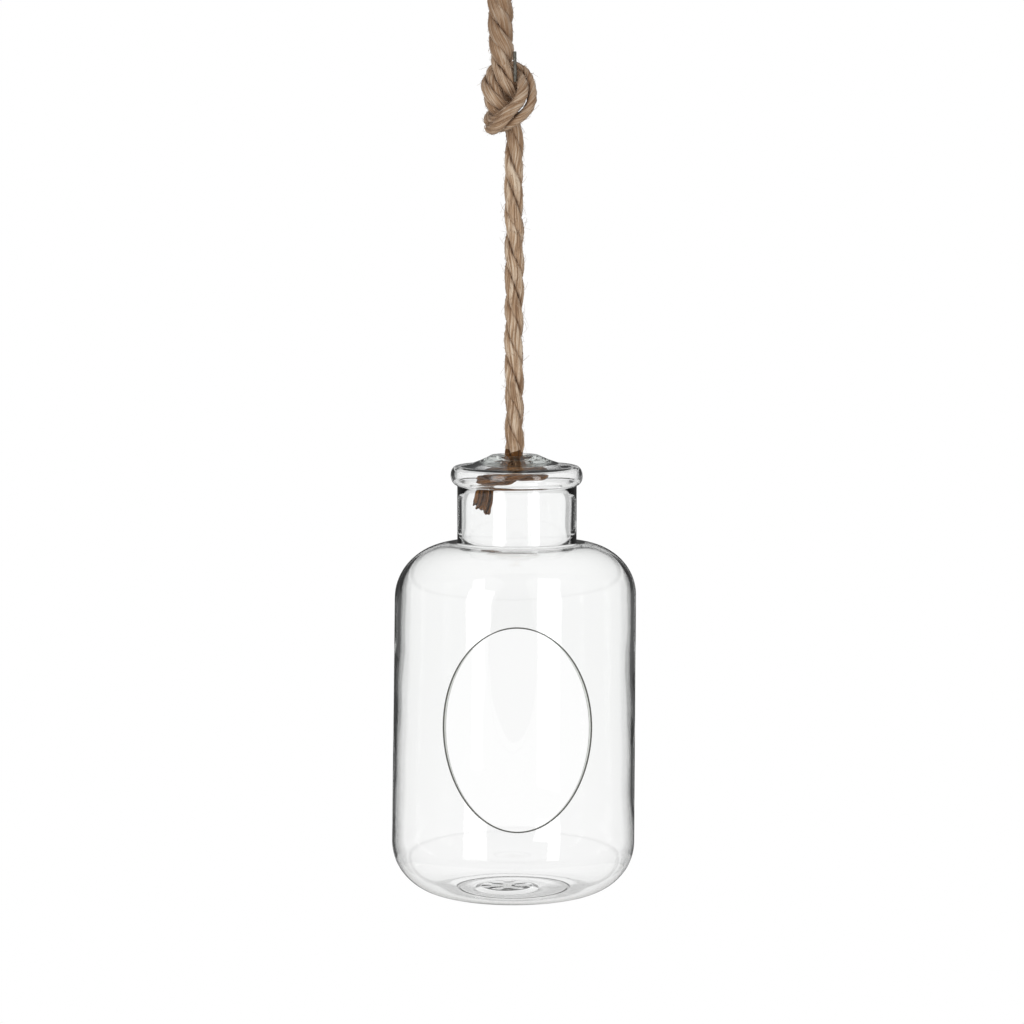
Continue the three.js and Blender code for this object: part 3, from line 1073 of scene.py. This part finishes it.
@dataclass
class GlassBottle:
    """The blown bottle with its closed dome, bead rim, neck, round shoulder and oval window (mm)."""

    land: float = -325.9
    hole_radius: float = 6.5
    land_radius: float = 12.4
    dome_rise: float = 6.0
    dome_flare: float = 11.5
    neck_radius: float = 32.1
    bead_top: float = -331.9
    bead_bottom: float = -342.3
    bead_stand_out: float = 3.4
    neck_fillet: float = 1.6
    shoulder_top: float = -373.5
    shoulder_end: float = -402.3
    body_radius_top: float = 65.0
    body_radius_bottom: float = 65.7
    body_end: float = -535.8
    base: float = -563.3
    base_radius: float = 36.7
    push_up_radius: float = 17.5
    push_up_height: float = 1.5
    push_up_flat: float = 14.0
    push_up_shift: float = -3.6
    push_up_blend: float = 26.0
    scar_radius: float = 9.0
    scar_depth: float = 0.35
    seam_radius: float = 30.2
    seam_half: float = 0.8
    seam_depth: float = 0.35
    middle_radius: float = 0.3
    dome_wall: float = 7.3
    ceiling_radius: float = 20.0
    boss_start: float = 4.5
    boss_end: float = 0.5
    rim_wall: float = 1.6
    neck_wall: float = 2.9
    shoulder_wall: float = 1.9
    body_wall: float = 2.8
    base_wall: float = 1.0
    still_radius: float = 20.0
    free_radius: float = 31.0
    outer_ripple: float = 0.25
    upright_height: float = -465.0
    profile_step: float = 0.25
    outer_easing: float = 0.5
    inner_easing: float = 1.2
    oval_width: float = 77.3
    oval_height: float = 107.2
    oval_centre: float = -465.4
    oval_tilt: float = -1.6
    oval_shift: float = 1.6
    lip_round: float = 0.6
    lip_start: float = 0.3
    lip_rings: int = 5
    columns: int = 160
    rows: int = 210
    curve_rows: float = 22.0
    window_margin: float = 7.0
    window_rings: int = 9

    # The blown wall thickens upwards: height above the body's end, and share of the body's wall.
    BODY_WALL = ((22, 0.6), (66, 0.85), (104, 1.07))
    # Ripples of hand-blown glass: reach, waves round the bottle, length along it, shift.
    RIPPLES = ((0.1, 3, 19.0, 0.0), (0.05, 5, -11.0, 1.0), (0.02, 7, 5.3, 2.0))

    def outer_line(self) -> np.ndarray:
        """Draws the outside from the rope hole over the rim and down to the middle of the base.

        Returns:
            Radius and height, closely spaced, with every corner eased.
        """
        quarter = np.linspace(0, math.pi / 2, 60)
        t = np.linspace(0, 1, 60)
        shoulder_start = self.neck_radius + self.neck_fillet
        dome_r = (1 - t) ** 2 * self.land_radius + 2 * t * (1 - t) * (self.land_radius + self.dome_flare)
        dome_r = dome_r + t**2 * self.neck_radius
        dome_z = self.land - self.dome_rise * (1 - (1 - t) ** 2)
        bead_z = self.bead_top + (self.bead_bottom - self.bead_top) * (1 - np.cos(math.pi * t)) / 2
        bead_r = self.neck_radius + self.bead_stand_out * np.sin(math.pi * t)
        fillet_r = shoulder_start - self.neck_fillet * np.cos(quarter)
        fillet_z = self.shoulder_top + self.neck_fillet * (1 - np.sin(quarter))
        round_r = shoulder_start + (self.body_radius_top - shoulder_start) * np.sin(quarter)
        round_z = self.shoulder_end + (self.shoulder_top - self.shoulder_end) * np.cos(quarter)
        foot_r = self.base_radius + (self.body_radius_bottom - self.base_radius) * np.cos(quarter)
        foot_z = self.body_end + (self.base - self.body_end) * np.sin(quarter)
        pushed = self.base + self.push_up_height
        parts = [
            [(self.hole_radius, self.land), (self.land_radius, self.land)],
            np.column_stack([dome_r, dome_z]),
            np.column_stack([bead_r, bead_z]),
            np.column_stack([fillet_r, fillet_z]),
            np.column_stack([round_r, round_z]),
            np.column_stack([foot_r, foot_z]),
            [(self.seam_radius + self.seam_half, self.base), (self.seam_radius, self.base + self.seam_depth)],
            [(self.seam_radius - self.seam_half, self.base), (self.push_up_radius, self.base)],
            [(self.push_up_flat, pushed), (self.middle_radius, pushed)],
        ]
        flat = np.vstack(parts)
        line = even_steps(np.column_stack([flat, np.zeros(len(flat))]), self.profile_step)[:, :2]
        return self.eased(line, self.outer_easing)

    def eased(self, line: np.ndarray, reach: float) -> np.ndarray:
        """Rounds a profile's corners, as softened glass flows.

        Args:
            line: radius and height at even steps.
            reach: how far a corner is softened, in millimetres.

        Returns:
            The rounded profile, with its ends where they were.
        """
        spread = reach / self.profile_step
        half = math.ceil(3 * spread)
        kernel = np.exp(-0.5 * (np.arange(-half, half + 1) / spread) ** 2)
        kernel /= kernel.sum()
        padded = np.vstack([2 * line[0] - line[half:0:-1], line, 2 * line[-1] - line[-2 : -half - 2 : -1]])
        smooth = np.column_stack([np.convolve(padded[:, i], kernel, "valid") for i in (0, 1)])
        smooth[0], smooth[-1] = line[0], line[-1]
        return smooth

    def profile(self) -> tuple[np.ndarray, np.ndarray]:
        """Chooses the rows, closer where the glass curves, and sets the inside a wall within.

        Returns:
            The outer and the inner rows as radius and height.
        """
        line = self.outer_line()
        along = lengths_along(line)
        slope = np.unwrap(np.arctan2(np.gradient(line[:, 1]), np.gradient(line[:, 0])))
        spent = summed_along(1 + self.curve_rows * np.abs(np.gradient(slope, along)), along)
        places = np.interp(np.linspace(0, spent[-1], self.rows), spent, along)
        inward = np.column_stack([np.sin(slope), -np.cos(slope)])
        heights, walls = zip(
            (self.base, self.base_wall),
            (self.body_end, self.base_wall),
            *((self.body_end + above, share * self.body_wall) for above, share in self.BODY_WALL),
            (self.shoulder_end, self.body_wall),
            (self.shoulder_top, self.shoulder_wall),
            (self.shoulder_top + 8, self.neck_wall),
            (self.bead_bottom - 4, self.neck_wall),
            (self.bead_bottom, 1.2 * self.rim_wall),
            (self.bead_top, self.rim_wall),
        )
        wall = np.interp(line[:, 1], heights, walls)
        lining = self.eased(line + inward * wall[:, None], self.inner_easing)
        outer, inner = (
            np.column_stack([np.interp(places, along, face[:, i]) for i in (0, 1)])
            for face in (line, lining)
        )
        inner[:, 0] = np.maximum(inner[:, 0], self.middle_radius)
        bore = self.neck_radius - self.rim_wall
        dome = (outer[:, 1] > self.bead_top - 0.5) & (outer[:, 0] < bore)
        ceiling = self.land - self.dome_wall
        across, crown = outer[dome].T
        flank = crown - np.interp(across, [self.ceiling_radius, bore], [1.3 * self.rim_wall, self.rim_wall])
        rim = self.ceiling_radius
        boss = 1 - smooth_step(rim - self.boss_start, rim + self.boss_end, across)
        inner[dome, 0] = across
        inner[dome, 1] = flank + (ceiling - flank) * boss
        return outer, inner

    def place(self, turn: np.ndarray, radius: np.ndarray, height: np.ndarray, inside: bool) -> np.ndarray:
        """Puts points on the hand-blown surface, with its ripples and its slight lean.

        Args:
            turn: angles round the axis, 0 at the front.
            radius: distances from the axis.
            height: heights.
            inside: whether the point is on the inner face.

        Returns:
            The points in millimetres.
        """
        free = smooth_step(self.still_radius, self.free_radius, radius)
        ripple = sum(
            reach * np.sin(waves * turn + height / long + shift) for reach, waves, long, shift in self.RIPPLES
        )
        radius = radius + free * ripple * (1.0 if inside else self.outer_ripple)
        heights, leans = zip(
            (self.base, -0.5),
            (self.body_end, -0.7),
            (self.upright_height, 0.0),
            (self.shoulder_end, 0.5),
            (self.shoulder_top, 1.4),
            (self.bead_bottom, 1.4),
            (self.bead_top, 1.0),
            (self.land, 0.2),
        )
        lean = np.interp(height, heights, leans)
        under = (height < self.base + 6) * (1 - smooth_step(self.push_up_radius, self.push_up_blend, radius))
        lean = lean + self.push_up_shift * under
        scar = under * (1 - smooth_step(self.scar_radius, self.push_up_flat, radius))
        scar = scar * (0.0 if inside else self.scar_depth)
        height = height + scar * np.sin(radius * np.sin(turn) / 1.9 + 1) * np.sin(radius * np.cos(turn) / 1.4)
        spots = np.broadcast_arrays(radius * np.sin(turn) + lean, -radius * np.cos(turn), height)
        return np.stack(spots, -1)

    def build(self) -> bpy.types.Object:
        """Builds the shell, cuts its oval window and hangs it on the bottle's body.

        Returns:
            The glass.
        """
        outer, inner = self.profile()
        turns = np.arange(self.columns) * FULL_TURN / self.columns
        points, faces = [], []
        for rows, inside in ((outer, False), (inner, True)):
            ring = self.place(turns[None, :], rows[:, :1], rows[:, 1:], inside)
            points.append(ring.reshape(-1, 3))
        count = self.rows * self.columns
        half_turn = math.asin(self.oval_width / 2 / self.body_radius_top)
        reach = math.ceil((half_turn + self.window_margin / self.body_radius_top) / turns[1])
        top = self.oval_centre + self.oval_height / 2 + self.window_margin
        bottom = self.oval_centre - self.oval_height / 2 - self.window_margin
        wall = np.arange(self.rows)[(outer[:, 1] < top) & (outer[:, 1] > bottom)]
        first, last = int(wall[0]), int(wall[-1])

        for i in range(self.rows - 1):
            for j in range(self.columns):
                column = j if j < self.columns / 2 else j - self.columns
                if first <= i < last and -reach <= column < reach:
                    continue
                a, b = i * self.columns + j, i * self.columns + (j + 1) % self.columns
                c, d = a + self.columns, b + self.columns
                faces.append((a, c, d, b))
                faces.append((count + a, count + b, count + d, count + c))
        hole = len(faces)
        for j in range(self.columns):
            k = (j + 1) % self.columns
            faces.append((j, k, count + k, count + j))
        bottom_ring = (self.rows - 1) * self.columns
        faces.append(tuple(bottom_ring + j for j in range(self.columns)))
        faces.append(tuple(count + bottom_ring + j for j in reversed(range(self.columns))))

        finishes = {hole + j: GlassFace.WETTED for j in range(self.columns)}
        finishes |= self.cut_window(points, faces, outer, inner, (first, last, reach, turns[1]))
        piece = new_piece("blown_glass_bottle", np.vstack(points) * MM, faces)
        dress = {
            GlassFace.BLOWN: BlownGlass(),
            GlassFace.ARRIS: ARRIS,
            GlassFace.CUT: CUT_FACE,
            GlassFace.WETTED: WettedGlass(),
        }
        for face in GlassFace:
            piece.data.materials.append(dress[face].material())
        for number, face in finishes.items():
            piece.data.polygons[number].material_index = face.value
        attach(piece, Body.BOTTLE.value)
        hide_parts("glass_bottle")
        log.info("%s: %d points", piece.name, len(piece.data.vertices))
        return piece

    def cut_window(
        self,
        points: list[np.ndarray],
        faces: list[tuple[int, ...]],
        outer: np.ndarray,
        inner: np.ndarray,
        patch: tuple[int, int, int, float],
    ) -> dict[int, GlassFace]:
        """Fills the patch of wall round the oval with rings and breaks the corners of its cut edge.

        Args:
            points: the shell's blocks of points, which grow.
            faces: the shell's faces, which grow.
            outer: the outer rows.
            inner: the inner rows.
            patch: the patch's first and last row, its columns to each side, and a column's angle.

        Returns:
            The numbers of the ground faces: the broken corners and the cut between them.
        """
        first, last, reach, column = patch
        count = self.rows * self.columns
        border = [(last, j) for j in range(-reach, reach)]
        border += [(i, reach) for i in range(last, first, -1)]
        border += [(first, j) for j in range(reach, -reach, -1)]
        border += [(i, -reach) for i in range(first, last)]
        turn = np.array([j * column for _, j in border])
        height = np.array([outer[i, 1] for i, _ in border])
        middle = (outer[first, 1] + outer[last, 1]) / 2
        tall = (outer[first, 1] - outer[last, 1]) / 2
        aim = np.arctan2((height - middle) / tall, turn / (reach * column))
        tilt = math.radians(self.oval_tilt)
        wide, high = self.oval_width / 2, self.oval_height / 2
        across = wide * np.cos(aim) * math.cos(tilt) + high * np.sin(aim) * math.sin(tilt)
        up = high * np.sin(aim) * math.cos(tilt) - wide * np.cos(aim) * math.sin(tilt)
        away = unit(np.column_stack([np.cos(aim) / wide, np.sin(aim) / high]))
        lip_turn = np.arcsin((across + self.oval_shift) / self.body_radius_top)
        lip_height = self.oval_centre + up

        def wall_radius(rows: np.ndarray, at: np.ndarray) -> np.ndarray:
            """Reads the wall's radius at a height."""
            return np.interp(at, rows[::-1, 1], rows[::-1, 0])

        rings: list[tuple[np.ndarray, np.ndarray]] = []
        lip = self.lip_round
        near_turn = lip_turn + lip * away[:, 0] / self.body_radius_top
        near_height = lip_height + lip * away[:, 1]
        for k in range(1, self.window_rings + 1):
            share = math.sin(k / self.window_rings * math.pi / 2)
            rings.append((turn + (near_turn - turn) * share, height + (near_height - height) * share))
        bends = np.linspace(self.lip_start, math.pi / 2, self.lip_rings)
        corner = [(lip * (1 - math.sin(a)), lip * (1 - math.cos(a))) for a in bends]
        outside, inside = wall_radius(outer, lip_height), wall_radius(inner, lip_height)

        blocks = []
        for ring_turn, ring_height in rings:
            blocks.append(self.place(ring_turn, wall_radius(outer, ring_height), ring_height, False))
        for out, radius, within in (
            *((out, outside - depth, False) for out, depth in corner),
            *((out, inside + depth, True) for out, depth in reversed(corner)),
        ):
            ring_turn = lip_turn + out * away[:, 0] / self.body_radius_top
            blocks.append(self.place(ring_turn, radius, lip_height + out * away[:, 1], within))
        for ring_turn, ring_height in reversed(rings):
            blocks.append(self.place(ring_turn, wall_radius(inner, ring_height), ring_height, True))

        size = len(border)
        start = 2 * count
        grid = [np.array([i * self.columns + j % self.columns for i, j in border])]
        grid += [start + n * size + np.arange(size) for n in range(len(blocks))]
        grid.append(count + grid[0])
        finishes = {}
        for number, (near, far) in enumerate(zip(grid[:-1], grid[1:])):
            past = number - self.window_rings
            finish = GlassFace.CUT if past == len(corner) else GlassFace.ARRIS
            for j in range(size):
                k = (j + 1) % size
                if 0 <= past <= 2 * len(corner):
                    finishes[len(faces)] = finish
                faces.append((near[j], near[k], far[k], far[j]))
        points += blocks
        return finishes


@dataclass
class TieWire:
    """The stub of tie wire that stands out of the top knot's seam (mm)."""

    diameter: float = 1.8
    route: tuple[tuple[float, float, float], ...] = (
        (0.2, -4.7, -111.2), (0.2, -4.7, -114.5), (0.3, -4.7, -118.5), (0.4, -4.4, -123.0),
        (0.3, -3.8, -127.2),
    )
    cut_end: float = 0.86
    step: float = 0.5
    sides: int = 14

    def build(self) -> bpy.types.Object:
        """Builds the wire with its cut end, on the upper rope.

        Returns:
            The wire.
        """
        points = even_steps(through_points(self.route), self.step)
        forward = unit(np.gradient(points, axis=0))
        side = unit(np.cross(forward, (0.0, 1.0, 0.0)))
        other = np.cross(forward, side)
        around = np.linspace(0, FULL_TURN, self.sides, endpoint=False)
        rows = len(points)
        radius = np.full(rows, self.diameter / 2)
        radius[0] *= self.cut_end
        ring = points[:, None] + radius[:, None, None] * (
            np.cos(around)[None, :, None] * side[:, None] + np.sin(around)[None, :, None] * other[:, None]
        )
        piece = new_piece("tie_wire_stub", ring.reshape(-1, 3) * MM, grid_faces(rows, self.sides, 0))
        piece.data.materials.append(AnnealedWire().material())
        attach(piece, Body.UPPER.value)
        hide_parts("tie_wire")
        log.info("%s: %d points", piece.name, len(piece.data.vertices))
        return piece


@dataclass
class Studio:
    """A pale floor, two tall soft boxes and a white backdrop, with the camera in front (metres, degrees)."""

    camera_place: tuple[float, float, float] = (-0.00129, -1.8743, -0.1764)
    camera_pitch: float = 5.5
    focal_pixels: float = 3500.0
    image_pixels: float = 1024.0
    sensor: float = 36.0
    floor_height: float = -1.0
    floor_radius: float = 1.1
    floor_sides: int = 96
    floor_paper: str = "#f2f2f0"
    floor_glow: float = 0.3
    lamp_distance: float = 1.6
    lamp_height: float = -0.1
    lamp_aim: float = -0.4
    soft_level: float = 0.5
    panel_half: float = 12.0
    panel_blur: float = 0.54
    panel_top: float = 14.0
    panel_foot: float = -9.5
    neck_foot: float = -1.0
    flag_blur: float = 1.44
    flags_end: float = 36.0
    open_start: float = 45.0
    gloom: float = 0.1
    gloom_top: float = 15.0
    sky: float = 0.7
    sky_foot: float = 60.0
    ceiling_span: float = 45.0

    # Soft boxes: name, degrees to the right of the camera, width and height, brightness (1 is paper white).
    SOFT_BOXES = (("soft_box_left", -35, (0.7, 1.4), 2.6), ("soft_box_right", 37.5, (0.36, 1.4), 3.4))
    # Flags beside the white panel: outer edge in degrees, colour, and the colour beyond the edge.
    NECK_FLAG = (26.0, "#262626", "#3c3c3c")
    BODY_FLAG = (26.0, "#5c5c5c", "#686868")
    PALE_FLAG = (24.0, "#c2c2c2", "#e8e8e8")
    # What lies above and below the panel: level in degrees and colour, the two ends first.
    CEILING = (
        (-18.0, "#ececec"), (22.5, "#dcdcdc"), (0.0, "#f4f4f4"),
        (16.2, "#f4f4f4"), (17.1, "#303030"), (21.15, "#303030"),
    )

    def camera(self) -> None:
        """Sets the camera at the photograph's viewing angle."""
        lens = bpy.data.cameras.new("camera")
        lens.sensor_width = self.sensor
        lens.lens = self.focal_pixels * self.sensor / self.image_pixels
        lens.clip_end = 100.0
        made = bpy.data.objects.new("camera", lens)
        made.location = self.camera_place
        made.rotation_euler = (math.radians(90 - self.camera_pitch), 0, 0)
        bpy.context.collection.objects.link(made)
        bpy.context.scene.camera = made

    def soft_box(self, name: str, azimuth: float, size: tuple[float, float], level: float) -> None:
        """Hangs one soft box that faces the bottle.

        Args:
            name: the lamp's name.
            azimuth: degrees to the right of the camera, seen from the bottle.
            size: its width and height.
            level: its brightness, where 1 is paper white.
        """
        lamp = bpy.data.lights.new(name, "AREA")
        lamp.shape = "RECTANGLE"
        lamp.size, lamp.size_y = size
        lamp.energy = level * math.pi * size[0] * size[1]
        made = bpy.data.objects.new(name, lamp)
        angle = math.radians(azimuth)
        away = self.lamp_distance
        made.location = (away * math.sin(angle), -away * math.cos(angle), self.lamp_height)
        aim = Vector((0, 0, self.lamp_aim)) - made.location
        made.rotation_euler = aim.to_track_quat("-Z", "Y").to_euler()
        bpy.context.collection.objects.link(made)

    def backdrop(self) -> None:
        """Makes the surroundings: white to the camera, soft to the rope, a panel and flags to the glass."""
        world = bpy.data.worlds.new("studio")
        bpy.context.scene.world = world
        world.use_nodes = True
        tree = world.node_tree
        tree.nodes.clear()
        place = add_node(tree, "ShaderNodeTexCoord")
        parts = add_node(tree, "ShaderNodeSeparateXYZ", {0: place.outputs["Generated"]})
        azimuth = add_node(
            tree, "ShaderNodeMath", {0: parts.outputs["X"], 1: parts.outputs["Y"]}, operation="ARCTAN2"
        )
        aside = add_node(tree, "ShaderNodeMath", {0: azimuth.outputs[0]}, operation="ABSOLUTE")
        share = add_node(tree, "ShaderNodeMath", {0: aside.outputs[0], 1: math.pi}, operation="DIVIDE")
        walls = []
        for edge, flag, beside in (self.NECK_FLAG, self.BODY_FLAG, self.PALE_FLAG):
            stops = (
                (self.panel_half, "#ffffff"), (self.open_start, "#f8f8f8"),
                (self.panel_half + self.panel_blur, flag), (edge, flag),
                (edge + self.flag_blur, beside), (self.flags_end, beside),
            )
            stops = [(angle / 180, colour) for angle, colour in stops]
            walls.append(add_node(tree, "ShaderNodeValToRGB", {0: share.outputs[0]}, stops=stops))
        neck_wall, body_wall, pale_wall = (wall.outputs["Color"] for wall in walls)
        rise = add_node(tree, "ShaderNodeMath", {0: parts.outputs["Z"]}, operation="ARCSINE")
        level = add_node(
            tree, "ShaderNodeMath", {0: rise.outputs[0], 1: math.radians(self.camera_pitch)}, operation="ADD"
        )
        span = self.ceiling_span
        climb = add_node(
            tree,
            "ShaderNodeMapRange",
            {0: level.outputs[0], 1: -math.radians(span), 2: math.radians(span), 3: 0.0, 4: 1.0},
        )
        ceiling = add_node(
            tree,
            "ShaderNodeValToRGB",
            {0: climb.outputs[0]},
            stops=[((at + span) / (2 * span), colour) for at, colour in self.CEILING],
        )
        middle = (self.panel_top + self.panel_foot) / 2
        off = add_node(
            tree, "ShaderNodeMath", {0: level.outputs[0], 1: math.radians(middle)}, operation="SUBTRACT"
        )
        far = add_node(tree, "ShaderNodeMath", {0: off.outputs[0]}, operation="ABSOLUTE")
        past = add_node(
            tree,
            "ShaderNodeMath",
            {0: far.outputs[0], 1: math.radians(self.panel_top - middle)},
            operation="GREATER_THAN",
        )
        low = add_node(
            tree,
            "ShaderNodeMath",
            {0: level.outputs[0], 1: math.radians(self.neck_foot)},
            operation="LESS_THAN",
        )
        panels = add_node(
            tree,
            "ShaderNodeMix",
            {0: low.outputs[0], 6: neck_wall, 7: body_wall},
            data_type="RGBA",
        )
        light = add_node(tree, "ShaderNodeLightPath")
        # Light mirrored inside the wall draws the dark bands at the bottle's sides. Light that goes
        # straight through meets a paler surround, so that the glass stays light from other sides.
        mirrored = add_node(
            tree, "ShaderNodeMath", {0: light.outputs["Glossy Depth"], 1: 0.5}, operation="GREATER_THAN"
        )
        behind = add_node(
            tree,
            "ShaderNodeMix",
            {0: mirrored.outputs[0], 6: pale_wall, 7: panels.outputs[2]},
            data_type="RGBA",
        )
        bent = add_node(
            tree,
            "ShaderNodeMix",
            {0: past.outputs[0], 6: behind.outputs[2], 7: ceiling.outputs["Color"]},
            data_type="RGBA",
        )
        # Reflections see a dark room that grows lighter overhead, which gives the glass its thin rim lines.
        overhead = add_node(
            tree,
            "ShaderNodeMapRange",
            {
                0: level.outputs[0],
                1: math.radians(self.gloom_top),
                2: math.radians(self.sky_foot),
                3: self.gloom,
                4: self.sky,
            },
        )
        around = add_node(
            tree,
            "ShaderNodeMix",
            {0: light.outputs["Is Transmission Ray"], 6: overhead.outputs[0], 7: bent.outputs[2]},
            data_type="RGBA",
        )
        soft = add_node(
            tree,
            "ShaderNodeMix",
            {
                0: light.outputs["Is Diffuse Ray"],
                6: around.outputs[2],
                7: (self.soft_level, self.soft_level, self.soft_level, 1),
            },
            data_type="RGBA",
        )
        seen = add_node(
            tree,
            "ShaderNodeMix",
            {0: light.outputs["Is Camera Ray"], 6: soft.outputs[2], 7: (1, 1, 1, 1)},
            data_type="RGBA",
        )
        shine = add_node(tree, "ShaderNodeBackground", {"Color": seen.outputs[2], "Strength": 1.0})
        output = add_node(tree, "ShaderNodeOutputWorld")
        tree.links.new(shine.outputs[0], output.inputs["Surface"])

    def floor(self) -> None:
        """Lays the pale paper floor, which keeps the shadow and looks brighter to camera and glass."""
        turns = np.linspace(0, FULL_TURN, self.floor_sides, endpoint=False)
        flat = self.floor_radius * np.column_stack([np.cos(turns), np.sin(turns)])
        ring = np.column_stack([flat, np.full(self.floor_sides, self.floor_height)])
        made = new_piece("paper_floor", ring, [tuple(range(self.floor_sides))])
        material, tree, output = empty_material("pale_floor_paper")
        light = add_node(tree, "ShaderNodeLightPath")
        matt = add_node(tree, "ShaderNodeBsdfDiffuse", {"Color": linear(self.floor_paper)})
        glow = add_node(tree, "ShaderNodeEmission", {"Color": (1, 1, 1, 1), "Strength": self.floor_glow})
        lifted = add_node(tree, "ShaderNodeAddShader", {0: matt.outputs[0], 1: glow.outputs[0]})
        seen = add_node(
            tree,
            "ShaderNodeMath",
            {0: light.outputs["Is Camera Ray"], 1: light.outputs["Is Transmission Ray"]},
            operation="MAXIMUM",
        )
        shader = add_node(
            tree, "ShaderNodeMixShader", {0: seen.outputs[0], 1: matt.outputs[0], 2: lifted.outputs[0]}
        )
        tree.links.new(shader.outputs[0], output.inputs["Surface"])
        made.data.materials.append(material)

    def build(self) -> None:
        """Sets up the camera, the lamps, the surroundings and the floor."""
        self.camera()
        for lamp in self.SOFT_BOXES:
            self.soft_box(*lamp)
        self.backdrop()
        self.floor()
        bpy.context.scene.view_settings.view_transform = "Standard"


def main() -> None:
    """Builds the studio and the pieces in order."""
    logging.basicConfig(level=logging.INFO, format="%(message)s")
    Studio().build()
    JuteRope().build()
    TieWire().build()
    GlassBottle().build()


if __name__ == "__main__":
    main()
